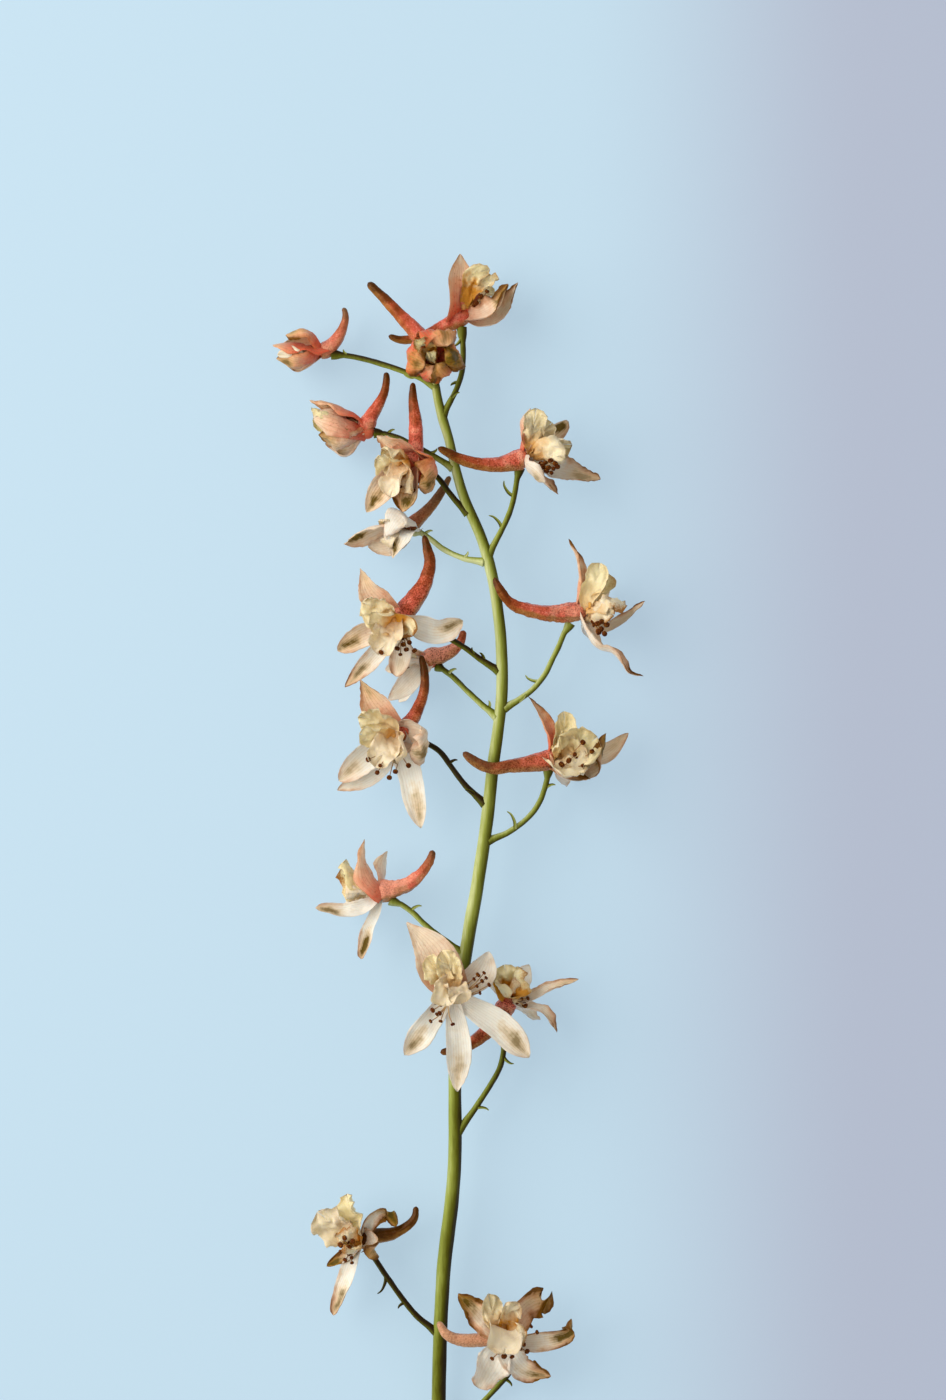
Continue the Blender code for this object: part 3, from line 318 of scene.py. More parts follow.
def grow_blade(root, spine, facing, blade, seed, grid, thickness):
    """A thin curled sheet round a midrib, hollow side the way the flower faces or its own way."""
    facing = Vector(blade["toward"] or facing).normalized()
    path = smooth_path([root] + spine)
    length = path[1][-1]
    outward = at(path, 0.6)[0] - root
    across_blade = facing.cross((outward - facing * outward.dot(facing)).normalized())
    bend = blade["cup"] + 0.001
    waves = math.tau * WAVES[seed % len(WAVES)]
    shape = bmesh.new()
    bmesh.ops.create_grid(shape, x_segments=grid[0], y_segments=grid[1], size=1)
    mark(shape, blade["tone"], lambda spot: ((spot.x + 1) / 2, (spot.y + 1) / 2))
    for vertex in shape.verts:
        across, share = vertex.co.x, (vertex.co.y + 1) / 2
        edge = across * across
        notch = blade["notch"] * share * (1 - min(abs(across) * 1.6, 1)) ** 1.5
        here, along = at(path, share * (1 - notch))
        sideways = (across_blade - along * across_blade.dot(along)).normalized()
        inward = along.cross(sideways)
        turn = blade["twist"] * share
        sideways, inward = (sideways * math.cos(turn) + inward * math.sin(turn),
                            inward * math.cos(turn) - sideways * math.sin(turn))
        half = blade["width"] / 2 * outline(share, blade)
        spot = Vector((across * half * FOLDS_ACROSS, share * length * FOLDS_ALONG, seed * 3.7))
        # The sheet is cupped across, waves and frills towards its edges, folds all over, dents along
        # its midrib and rolls up at its hem.
        side = half * math.sin(across * bend) / bend
        rise = half * (1 - math.cos(across * bend)) / bend
        wave = blade["ripple"] * half * edge * math.sin(waves * share + seed + EDGE_LAG * (across > 0))
        fold = blade["crumple"] * (noise.noise(spot) + 0.45 * noise.noise(spot * 2.7)) * min(share * 3, 1)
        frill = blade["crumple"] * 0.9 * edge * noise.noise(spot * 2.6) * min(share * 2, 1)
        crease = -MIDRIB_DEPTH * math.exp(-(across / MIDRIB_WIDTH) ** 2) * (1 - share)
        rolled = blade["hem"] * half * (max(abs(across) - HEM_START, 0) / (1 - HEM_START)) ** 2
        depth = rise + wave + fold + frill + crease + rolled
        vertex.co = here + sideways * (side + frill / 2) + inward * depth
    bmesh.ops.solidify(shape, geom=shape.faces[:], thickness=thickness)
    bmesh.ops.recalc_face_normals(shape, faces=shape.faces)
    return shape


def spur_relief(angle, share, point):
    """Six folds along a limp horn, lumps 3 mm long and blisters of 1 mm, as a share of its radius."""
    folds = 0.04 * math.cos(6 * angle + 4 * share) + 0.07 * noise.noise(point * (0.33 / MM))
    return folds + 0.06 * noise.noise(point * (0.9 / MM))


def knot(centre, radius, tone=(0, 0, 0)):
    """Small round body that other shapes grow out of."""
    shape = bmesh.new()
    bmesh.ops.create_icosphere(shape, subdivisions=3, radius=radius)
    mark(shape, tone, lambda spot: (0.5, 0.15))
    bmesh.ops.translate(shape, verts=shape.verts, vec=centre)
    return shape


# Sepal tissue: thin, moist and slightly translucent, so light glows through it. Cream to coral clouded
# every 2.6 mm, with freckles of 0.7 mm, faint veins that fan from the claw, tan drying edges and a
# brown-green mark near the tip.
sepal_tissue, tree, surface = finish_of("thin sepal tissue")
where, (crosswise, along, _), (pink, olive, dry) = readings(tree)
edge = from_middle(tree, crosswise)
clouds = add(tree, "TexNoise", {"Vector": where, "Scale": 0.38 / MM, "Detail": 3})
grain = add(tree, "TexNoise", {"Vector": where, "Scale": 1.5 / MM, "Detail": 3})
fading = add(tree, "Math", [along, -1.05, 1.35], operation="MULTIPLY_ADD")
blush = add(tree, "Math", [fading, pink], operation="MULTIPLY")
cloudy = add(tree, "Math", [clouds, 0.4, -0.2], operation="MULTIPLY_ADD")
blush = add(tree, "Math", [blush, cloudy], operation="ADD", use_clamp=True)
flesh = add(tree, "ValToRGB", [blush],
            stops=[(0, "#EFECE6"), (0.3, "#ECD8C6"), (0.6, "#E2B096"), (1, "#D86046")])
fan = add(tree, "CombineXYZ", [crosswise, add(tree, "Math", [along, 0.25], operation="MULTIPLY")])
bands = add(tree, "TexWave", {"Vector": fan, "Scale": 3.2, "Distortion": 2.2, "Detail": 2,
                              "Detail Scale": 2}, out=1)
veins = add(tree, "MapRange", [bands, 0, 0.3, 1, 0])
vein_depth = add(tree, "Math", [pink, 0.24, 0.1], operation="MULTIPLY_ADD")
vein_depth = add(tree, "Math", [veins, vein_depth], operation="MULTIPLY")
veined = add(tree, "Mix", {0: vein_depth, 6: flesh, 7: linear("#B27E58")}, out=2, data_type="RGBA")
rim = add(tree, "Math", [along, along], operation="MULTIPLY")
rim = add(tree, "Math", [rim, 0.62, 0.05], operation="MULTIPLY_ADD")
for source, weight in ((edge, 0.55), (clouds, 0.45), (dry, 0.35)):
    rim = add(tree, "Math", [source, weight, rim], operation="MULTIPLY_ADD")
rim = add(tree, "MapRange", [rim, 1.08, 1.55, 0, 1])
rim = add(tree, "Math", [rim, dry], operation="MULTIPLY", use_clamp=True)
crisp = add(tree, "ValToRGB", [rim], stops=[(0, "#E2A466"), (0.5, "#B86C14"), (1, "#6A4200")])
dried = add(tree, "Mix", {0: rim, 6: veined, 7: crisp}, out=2, data_type="RGBA")
ahead = add(tree, "Math", [along, 3.1, -2.5], operation="MULTIPLY_ADD")
ahead = add(tree, "Math", [ahead, ahead], operation="MULTIPLY")
across = add(tree, "Math", [edge, 1.25], operation="MULTIPLY")
away = add(tree, "Math", [across, across, ahead], operation="MULTIPLY_ADD")
away = add(tree, "Math", [away], operation="SQRT")
away = add(tree, "Math", [clouds, 1.3, away], operation="MULTIPLY_ADD")
away = add(tree, "Math", [veins, -0.1, away], operation="MULTIPLY_ADD")
blot = add(tree, "MapRange", [away, 0.74, 1.6, 1, 0])
blot = add(tree, "Math", [blot, olive], operation="MULTIPLY", use_clamp=True)
stain = add(tree, "ValToRGB", [blot],
            stops=[(0, "#E8C494"), (0.35, "#C99A4C"), (0.7, "#8C6E10"), (1, "#5E4A04")])
stained = add(tree, "Mix", {0: blot, 6: dried, 7: stain}, out=2, data_type="RGBA")
flecks = add(tree, "MapRange", [grain, 0.6, 0.72, 0, 0.7])
flecks = add(tree, "Math", [flecks, blush], operation="MULTIPLY")
flecked = add(tree, "Mix", {0: flecks, 6: stained, 7: linear("#8E3A28")}, out=2, data_type="RGBA")
wrinkles = add(tree, "TexNoise", {"Vector": where, "Scale": 0.8 / MM, "Detail": 2, "Distortion": 1.2})
raised = add(tree, "Math", [veins, 0.25, wrinkles], operation="MULTIPLY_ADD")
relief = add(tree, "Bump", {"Strength": 0.5, "Distance": 0.3 * MM, "Height": raised})
feed(tree, surface, {
    "Base Color": flecked, "Normal": relief, "Roughness": 0.5, "Specular IOR Level": 0.2,
    "Subsurface Weight": 0.28, "Subsurface Radius": (1, 0.75, 0.55), "Subsurface Scale": 0.8 * MM})

# Spur tissue: fleshier and glossier than the sepals. Coral where it leaves the flower, clouded every
# 3 mm, freckled with dark red specks of 0.5 mm, and dark brown at its tip, with pale pink painted
# highlights between the freckles on its fresher parts; its tone shifts one spur browner, another more
# tan, and says how freckled it is.
spur_tissue, tree, surface = finish_of("fleshy spur tissue")
where, (_, along, upside), (brown, tanned, freckly) = readings(tree)
clouds = add(tree, "TexNoise", {"Vector": where, "Scale": 0.3 / MM, "Detail": 4})
freckles = add(tree, "TexNoise", {"Vector": where, "Scale": 2.1 / MM, "Detail": 3})
shift = add(tree, "Math", [clouds, 0.9, -0.45], operation="MULTIPLY_ADD")
length = add(tree, "Math", [along, along], operation="MULTIPLY")
length = add(tree, "Math", [along, 0.35, length], operation="MULTIPLY_ADD")
aged = add(tree, "Math", [length, 0.8, brown], operation="MULTIPLY_ADD")
aged = add(tree, "Math", [aged, shift], operation="ADD", use_clamp=True)
horn = add(tree, "ValToRGB", [aged],
           stops=[(0, "#EE9C86"), (0.24, "#D86654"), (0.48, "#AE4E30"), (0.74, "#7C3C16"), (1, "#4A2A02")])
below = add(tree, "Math", [clouds, 0.8, upside], operation="MULTIPLY_ADD")
below = add(tree, "MapRange", [below, 0.5, 0.88, 0.8, 0])
under = add(tree, "Mix", {0: below, 6: horn, 7: linear("#A87838")}, out=2, data_type="RGBA")
tan = add(tree, "Mix", {0: tanned, 6: under, 7: linear("#D0A282")}, out=2, data_type="RGBA")
flecks = add(tree, "Math", [clouds, 0.35, freckles], operation="MULTIPLY_ADD")
dots = add(tree, "MapRange", [flecks, 0.66, 0.8, 0, 0.8])
dots = add(tree, "Math", [dots, freckly], operation="MULTIPLY")
freckled = add(tree, "Mix", {0: dots, 6: tan, 7: linear("#6A2810")}, out=2, data_type="RGBA")
# Painted highlights: pale pink dapples between the freckles, fading where the spur browns, stand in for
# gloss.
painted_highlight = add(tree, "MapRange", [flecks, 0.56, 0.42, 0, 0.8])
fresh = add(tree, "Math", [1, aged], operation="SUBTRACT")
painted_highlight = add(tree, "Math", [painted_highlight, fresh], operation="MULTIPLY")
with_painted_highlights = add(tree, "Mix", {0: painted_highlight, 6: freckled, 7: linear("#ECB0A0")}, out=2, data_type="RGBA")
relief = add(tree, "Bump", {"Strength": 0.6, "Distance": 0.16 * MM, "Height": freckles})
feed(tree, surface, {
    "Base Color": with_painted_highlights, "Normal": relief, "Roughness": 0.22, "Specular IOR Level": 0.22,
    "Specular Tint": linear("#FFD2B4"), "Subsurface Weight": 0.08, "Subsurface Radius": (1, 0.5, 0.35),
    "Subsurface Scale": 0.8 * MM})

# Petals
# Four small petals fill the throat: two upright ones, pale yellow, and two broad lower ones. They
# are thin, notched at the tip and crumpled like crepe, ochre where they grow together.
PETAL_GRID = (18, 22)
PETAL_THICKNESS = 0.22 * MM
PETAL_FULLNESS = 1.25                           # a petal pulled flat is wider than it looks when crumpled
PETAL_CORE = 1 * MM
PETAL_CORE_TINTS = (0.6, 0.8, 0)
PETAL_ROOT = (3 * MM, 1.2 * MM)                 # in front of the throat's middle and up from it


def petal(kind, width, points, tints, cup=0.6, peak=0.62, crumple=1, notch=0.16, toward=None):
    """One petal: its width in millimetres and its midrib, pixels with heights above the throat.

    Its tints are how yellow it is, how ochre in its depths and how dried its edge.
    """
    return dict(kind=kind, width=width * PETAL_FULLNESS * MM, points=points, tone=tints, cup=cup, twist=0,
                peak=peak, tip=0.4, ripple=0.3, crumple=crumple * MM, claw=0.5, notch=notch, hem=0.3,
                toward=toward)


# Petal tissue: matt and papery, pale yellow to cream, ochre towards the claw and in folds 2.4 mm
# apart, with thin brown lips, ragged by 0.6 mm, where the edge has dried.
petal_tissue, tree, surface = finish_of("papery petal tissue")
where, (crosswise, along, _), (yellow, ochre, dry) = readings(tree)
edge = from_middle(tree, crosswise)
clouds = add(tree, "TexNoise", {"Vector": where, "Scale": 0.42 / MM, "Detail": 3})
grain = add(tree, "TexNoise", {"Vector": where, "Scale": 1.8 / MM, "Detail": 3})
body = add(tree, "Mix", {0: yellow, 6: linear("#F1E1CA"), 7: linear("#F0E2B0")}, out=2, data_type="RGBA")
depth = add(tree, "Math", [along, -1.5, 0.95], operation="MULTIPLY_ADD")
depth = add(tree, "Math", [clouds, 0.9, depth], operation="MULTIPLY_ADD")
depth = add(tree, "MapRange", [depth, 0.35, 1.15, 0, 1])
depth = add(tree, "Math", [depth, ochre], operation="MULTIPLY")
warm = add(tree, "Mix", {0: depth, 6: body, 7: linear("#CE8E2C")}, out=2, data_type="RGBA")
lip = add(tree, "Math", [edge, 0.6, along], operation="MULTIPLY_ADD")
lip = add(tree, "Math", [grain, 0.5, lip], operation="MULTIPLY_ADD")
lip = add(tree, "MapRange", [lip, 1.35, 1.8, 0, 1])
lip = add(tree, "Math", [lip, dry], operation="MULTIPLY")
lipped = add(tree, "Mix", {0: lip, 6: warm, 7: linear("#A8743A")}, out=2, data_type="RGBA")
wrinkles = add(tree, "TexNoise", {"Vector": where, "Scale": 0.9 / MM, "Detail": 2, "Distortion": 1.5})
relief = add(tree, "Bump", {"Strength": 0.6, "Distance": 0.35 * MM, "Height": wrinkles})
feed(tree, surface, {
    "Base Color": lipped, "Normal": relief, "Roughness": 0.55, "Specular IOR Level": 0.3,
    "Subsurface Weight": 0.3, "Subsurface Radius": (1, 0.8, 0.45), "Subsurface Scale": 0.8 * MM})

# Stamens
# A tuft of thin filaments below the petals, each with a dark anther split into two lobes. Some
# have dropped their pollen and shrivelled, so they hang at all angles.
STAMEN_CORE = 0.9 * MM
STAMEN_ROOT = (3 * MM, -1.6 * MM)               # in front of the throat's middle and up from it
FILAMENT = 0.17 * MM
FILAMENT_SIDES, FILAMENT_RINGS = 6, 14
ANTHER = Vector((0.72, 1.05, 0.55)) * MM        # half of its width, length and depth
ANTHER_GROOVE = 0.25                            # share of its half width that the groove takes
ANTHER_GRAIN = 0.08 * MM


def anther(centre, direction, size):
    """Two dusty lobes side by side, crossing the end of a filament."""
    shape = bmesh.new()
    bmesh.ops.create_icosphere(shape, subdivisions=2, radius=1)
    mark(shape, (0, 0, 0), lambda spot: (0.5, 0.9))
    turn = direction.to_track_quat("Z", "Y")
    for vertex in shape.verts:
        groove = 1 - 0.3 * math.exp(-(vertex.co.x / ANTHER_GROOVE) ** 2)
        flat = vertex.co * ANTHER * groove * size
        grain = ANTHER_GRAIN * noise.noise(flat * (3 / MM) + centre * (0.9 / MM))
        vertex.co = centre + turn @ flat + UP * grain
    for face in shape.faces:
        face.material_index = 1
    return shape


def grow_stamen(root, end, bow, size):
    """A filament that bows on its way to its anther."""
    middle = root.lerp(end, 0.5) + bow
    line = [(*root, FILAMENT * 1.5), (*root.lerp(middle, 0.6), FILAMENT * 1.2),
            (*middle.lerp(end, 0.4), FILAMENT), (*end, FILAMENT * 0.8)]
    return [tube(line, FILAMENT_SIDES, FILAMENT_RINGS), anther(end, (end - middle).normalized(), size)]


# Filament: a pale tan thread, a little glossy, darker towards its anther.
filament_thread, tree, surface = finish_of("dried filament")
along = add(tree, "SeparateColor", [add(tree, "Attribute", attribute_name="spot")], out=1)
colour = add(tree, "ValToRGB", [along], stops=[(0, "#E3CFA6"), (0.6, "#C29A66"), (1, "#7A4A28")])
feed(tree, surface, {"Base Color": colour, "Roughness": 0.5})

# Anther: a dark maroon case dusted with brown pollen in specks of 0.3 mm, so it is matt and grainy.
anther_dust, tree, surface = finish_of("dusty anther")
where = add(tree, "TexCoord", out="Object")
pollen = add(tree, "TexNoise", {"Vector": where, "Scale": 3.2 / MM, "Detail": 2})
colour = add(tree, "ValToRGB", [pollen], stops=[(0.35, "#3A1404"), (0.55, "#602A08"), (0.72, "#A8701C")])
relief = add(tree, "Bump", {"Strength": 0.6, "Distance": 0.06 * MM, "Height": pollen})
feed(tree, surface, {"Base Color": colour, "Normal": relief, "Roughness": 0.75, "Specular IOR Level": 0.1})


def plant_piece(name, node, shapes, materials):
    """Joins shapes to one object that stands for a CAD node."""
    whole = bmesh.new()
    for shape in shapes:
        part = bpy.data.meshes.new("part")
        shape.to_mesh(part)
        shape.free()
        whole.from_mesh(part)
        bpy.data.meshes.remove(part)
    mesh = bpy.data.meshes.new(name)
    whole.to_mesh(mesh)
    whole.free()
    mesh.shade_smooth()
    for material in materials:
        mesh.materials.append(material)
    piece = bpy.data.objects.new(name, mesh)
    bpy.context.scene.collection.objects.link(piece)
    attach(piece, "root")
    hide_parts(node)


def flower(number, throat, facing, spur, sepals, petals, stamens, stalk, bracts, stalk_tone, spur_tone,
           core_pink=1, bumpy=1):
    """Grows one flower and its stalk from pixels of the photograph and heights in millimetres.

    The heights of a blade, a stamen or the spur count from the throat, and each spur point also has a
    radius. A stalk's tone is its green at the flower and at the stem, from 0, light, to 1, near black.
    A spur's is how brown, how tan and how freckled it is, and bumpy deepens its folds.
    """
    centre = place(*throat)
    facing = Vector(facing).normalized()
    chance = random.Random(number)

    def relative(point):
        return place(point[0], point[1], throat[2] + point[2])

    upward = Vector()
    for one in sepals:
        if one["kind"].startswith("upper"):
            upward += (relative(one["points"][0]) - centre).normalized()
    upward = (upward - facing * upward.dot(facing)).normalized()
    mouth = spur[0][3] * MM
    spine = [(*(centre + facing * SPUR_START), mouth * 0.8)]
    spine += [(*relative(point), point[3] * MM) for point in spur]
    horn = tube(spine, SPUR_SIDES, SPUR_RINGS, spur_tone, lambda *spot: 1 + bumpy * spur_relief(*spot),
                lip=SPUR_ROUNDING, blunt=SPUR_ROUNDING, slot=1)
    spot = horn.verts.layers.float_color["spot"]
    for vertex in horn.verts:
        vertex[spot] = (*vertex[spot][:2], (vertex.normal.y + 1) / 2, 1)
    calyx = [knot(centre, CALYX_CORE, (core_pink, 0, 0)), horn]
    for index, one in enumerate(sepals):
        foot = upward * mouth / 2 - facing * UPPER_SEPAL_BACK if one["kind"] == "upper" else Vector()
        calyx.append(grow_blade(centre + foot, [relative(point) for point in one["points"]], facing, one,
                                number * 5 + index, SEPAL_GRID, SEPAL_THICKNESS))
    root = centre + facing * PETAL_ROOT[0] + upward * PETAL_ROOT[1]
    crown = [knot(root, PETAL_CORE, PETAL_CORE_TINTS)]
    for index, one in enumerate(petals):
        crown.append(grow_blade(root, [relative(point) for point in one["points"]], facing, one,
                                number * 7 + index, PETAL_GRID, PETAL_THICKNESS))
    root = centre + facing * STAMEN_ROOT[0] + upward * STAMEN_ROOT[1]
    tuft = [knot(root, STAMEN_CORE)]
    for index, point in enumerate(stamens):
        end = relative(point)
        bow = (facing * chance.uniform(0.2, 0.8) - upward * chance.uniform(0, 0.9)
               + facing.cross(upward) * chance.uniform(-1.2, 1.2)) * MM
        tuft += grow_stamen(root, end, bow, chance.uniform(0.85, 1.25))
        if index % 2 == 0:
            short = root.lerp(end, chance.uniform(0.45, 0.7)) + facing * chance.uniform(0, 0.6) * MM
            tuft += grow_stamen(root, short, bow * 0.6, 0.85)
    for name, node, shapes, materials, slot in (
            ("sepals_and_spur", "calyx", calyx, (sepal_tissue, spur_tissue), "sepals"),
            ("crown_of_petals", "petals", crown, (petal_tissue,), "petals"),
            ("tuft_of_stamens", "stamens", tuft, (filament_thread, anther_dust), "stamens")):
        plant_piece("%s_%02d" % (name, number), "bloom_%02d_%s" % (number, node), shapes, materials)
    grow_stalk(stalk, stalk_tone)
    for index, (start, end) in enumerate(bracts):
        grow_bract(stalk, start, end, stalk_tone[1], BRACT_CURL if index % 2 else -BRACT_CURL)


# Flower 1
# Top left, still closed and seen from the side: a coral bud with olive edges, its mouth to the left
# and its short spur turned up. Its stalk is dark and nearly straight.
flower(
    1, throat=(324, 350, 11), facing=(-1, -0.1, 0.2),
    spur=[(324, 349, 0, 2.5), (333, 342, 0.4, 2.1), (340, 332, 0.8, 1.6), (344, 322, 0.8, 1.2),
          (345, 314, 0.5, 1), (343, 306, 0, 0.7)],
    sepals=[
        sepal("upper", 10, [(305, 343, 1.6), (288, 342, 2.4), (272, 343, 1)], (1.4, 0, 0.5), cup=0.9,
              tip=0.6, claw=0.7),
        sepal("near side", 7.5, [(315, 335, 2.5), (302, 329, 4.5), (285, 334, 3)], (1, 0.8, 1), cup=1.2,
              tip=0.45, crumple=0.5, claw=0.7),
        sepal("far side", 9.5, [(308, 340, -4.5), (292, 341, -5.5), (277, 345, -4)], (0.8, 0.4, 0.6),
              cup=1.1),
        sepal("near lower", 8, [(310, 361, 3.2), (294, 365, 4.2), (276, 358, 2.6)], (0.95, 0.9, 1), cup=1,
              tip=0.45, crumple=0.6, claw=0.7),
        sepal("far lower", 9, [(308, 360, -3.2), (293, 362, -4.4), (279, 357, -3.5)], (0.6, 0.5, 1),
              cup=1.1),
    ],
    petals=[
        petal("upper", 3.6, [(306, 347, 1.4), (296, 348, 1.7), (281, 350, 1.4)], (0.4, 0.3, 0.3)),
        petal("lower", 4, [(306, 355, 2.6), (296, 356, 4.8), (277, 355, 4.4)], (0, 0, 0.3), crumple=0.5),
    ],
    stamens=[(300, 357, 0.4), (297, 353, 1.8), (292, 356, 0.2)],
    stalk=[(331, 353, 11), (345, 354, 11.3), (360, 357, 12), (380, 363, 13.5), (400, 370, 15.2),
           (420, 378, 16.6), (437, 388, 17.3)],
    bracts=[((350, 355), (343, 349)), ((404, 372), (414, 378))],
    stalk_tone=(0.8, 0.45), spur_tone=(0, 0.2, 0.4))

# Flower 2
# At the tip, seen into its mouth, brown and crumpled where its sepals fold over each other. The
# spur runs up to the left, glossy pink with a brown end.
folded = dict(cup=0.9, tip=0.35, ripple=0.25, crumple=1.2, claw=0.8)
flower(
    2, throat=(433, 361, 19), facing=(0.2, -0.3, 1),
    spur=[(430, 352, 0.3, 2.6), (418, 335, 0, 2.5), (400, 316, -0.5, 1.95), (385, 300, -1, 1.6),
          (368, 283, -1.5, 1.1)],
    sepals=[
        sepal("upper", 12, [(431, 340, 3), (435, 332, 6.5), (444, 337, 10), (448, 350, 10.6)],
              (1.5, 0.7, 0.8), **folded),
        sepal("left", 12, [(414, 354, 3), (408, 360, 6.5), (415, 366, 10), (426, 369, 10.6)], (1.7, 0.9, 1),
              **folded),
        sepal("right", 12, [(451, 348, 3), (459, 355, 6.5), (453, 362, 10.2), (445, 365, 10.8)],
              (1.3, 1.5, 1.6), **folded),
        sepal("lower left", 11, [(421, 372, 3), (423, 379, 6), (430, 376, 9.8), (434, 369, 10.2)],
              (1.7, 0.2, 1), **folded),
        sepal("lower right", 11, [(444, 371, 3), (447, 379, 6), (441, 374, 10.2), (437, 367, 10.6)],
              (1.5, 0.5, 1.4), **folded),
    ],
    petals=[
        petal("upper", 4.5, [(428, 352, 6), (422, 348, 9.5), (415, 344, 11)], (1, 1.8, 1.6), crumple=1.4,
              toward=(0, 0, 1)),
        petal("lower", 3, [(430, 355, 6.8), (432, 360, 7.8), (435, 367, 7.8)], (1.4, 3.4, 3.4), crumple=1.8,
              toward=(0, 0, 1)),
    ],
    stamens=[(428, 362, 6.6), (433, 368, 6.6), (429, 356, 6.6)],
    stalk=[(433, 365, 16), (433.5, 372, 16.9), (435, 384, 17.3)],
    bracts=[],
    stalk_tone=(0.3, 0.3), spur_tone=(0.1, 0, 0.4))

# Flower 3
# Top right, its mouth turned up and to the right. The upper sepal stands up, coral at its foot, and
# the others cup below; the spur passes behind flower 2.
flower(
    3, throat=(463, 315, 11), facing=(0.35, 0.85, 0.35),
    spur=[(461, 316, 0, 2.6), (445, 324, -0.3, 2.1), (430, 332, -0.6, 1.8), (415, 337, -0.8, 1.5),
          (400, 338, -1, 1.2), (388, 334, -1, 0.8)],
    sepals=[
        sepal("upper", 11.4, [(460, 302, 3), (459, 281, 3.6), (460, 253, 2.4)], (0.8, 0, 0.7), peak=0.35,
              tip=0.9, claw=0.95, toward=(0.5, 0.2, 1)),
        sepal("left", 8, [(464, 300, 0.5), (467, 284, 0.6), (466, 266, 0)], (1, 0.1, 0.6), cup=0.9),
        sepal("right", 9, [(480, 315, 4), (498, 305, 6), (508, 284, 5.4)], (0.45, 1.5, 1.2), cup=0.9,
              tip=0.4, toward=(-0.3, 0.6, 0.8)),
        sepal("lower right", 7.5, [(481, 323, 1), (503, 313, 1.5), (518, 281, 1)], (0.45, 0.3, 1), cup=0.9,
              toward=(-0.3, 0.6, 0.8)),
        sepal("under", 7.5, [(472, 300, -4.5), (481, 286, -6.5), (490, 274, -6.5)], (0.7, 0.2, 0.4),
              cup=0.9),
    ],
    petals=[
        petal("upper", 4.6, [(468, 291, 3.6), (473, 274, 4.6), (490, 269, 4.2)], (0.7, 2, 0.7), crumple=1.6,
              toward=(0.2, 0.2, 1)),
        petal("upper", 4, [(473, 292, 2.6), (482, 282, 3.6), (499, 277, 3.6)], (0.5, 2, 0.7), crumple=1.6,
              toward=(0, 0.4, 1)),
        petal("lower", 5, [(477, 300, -0.6), (487, 293, -1.6), (495, 287, -1.6)], (0.5, 0.8, 0.3)),
    ],
    stamens=[(476, 303, 4.4), (481, 296, 4.4), (487, 291, 4)],
    stalk=[(462, 326, 10.8), (463, 345, 11.6), (463, 360, 12.6), (461, 375, 14), (456, 390, 15.6),
           (450, 402, 16.8), (443, 416, 17.5)],
    bracts=[((461.5, 336), (453, 345)), ((458, 382), (451, 385)), ((452, 398), (459, 393))],
    stalk_tone=(0.65, 0.5), spur_tone=(0.1, 0, 0.5))

# Flower 4
# Second on the left, closed and seen from the side: pink above, cream below, with a thin hook at
# the tip of its upper sepal.
flower(
    4, throat=(367, 431, 12), facing=(-1, 0.05, 0.2),
    spur=[(366, 424, 0, 2.6), (371, 415, 0.3, 2.1), (378, 404, 0.5, 1.7), (384, 392, 0.5, 1.3),
          (386, 380, 0.3, 1.1), (386, 371, 0, 0.8)],
    sepals=[
        sepal("upper", 9.5, [(350, 411, 0.5), (328, 402, 0.5), (309, 399, 0)], (1, 0.4, 0.6), cup=1.1),
        sepal("near side", 11.5, [(350, 424, 4.8), (332, 416, 6), (313, 414, 4.5)], (0.9, 0.2, 0.5), cup=1,
              tip=0.45, crumple=0.6),
        sepal("far side", 10, [(350, 422, -5), (332, 419, -6.5), (316, 418, -5)], (0.9, 0.2, 0.3), cup=1.1),
        sepal("near lower", 11, [(353, 442, 3.2), (336, 446, 4.6), (318, 435, 3.5)], (0.6, 0.8, 1.2), cup=1,
              tip=0.5, crumple=0.7, claw=0.35),
        sepal("far lower", 10, [(353, 447, -3), (340, 451, -4.5), (324, 442, -5)], (0.4, 0.7, 0.9), cup=1.1),
    ],
    petals=[
        petal("upper", 7, [(347, 422, 2.2), (330, 414, 2.6), (311, 407, 2.2)], (0.8, 0.5, 0.3), crumple=1.6),
        petal("upper", 7, [(347, 424, -1.6), (330, 420, -2.2), (312, 417, -2.2)], (0.8, 0.4, 0.3)),
        petal("lower", 5.5, [(349, 433, -0.8), (337, 433, -1.2), (321, 431, -1.4)], (0.1, 0.1, 0.3)),
    ],
    stamens=[(343, 438, 0.6), (338, 435, 2.2), (334, 439, 0.4), (340, 441, -1)],
    stalk=[(374, 432, 12), (385, 433, 12.3), (400, 438, 13.2), (415, 446, 14.5), (430, 454, 15.9),
           (440, 460, 16.7), (453, 468, 17.2)],
    bracts=[((387, 434), (394, 429)), ((430, 453), (437, 449))],
    stalk_tone=(0.85, 0.45), spur_tone=(0.1, 0, 0.5), core_pink=0.9)

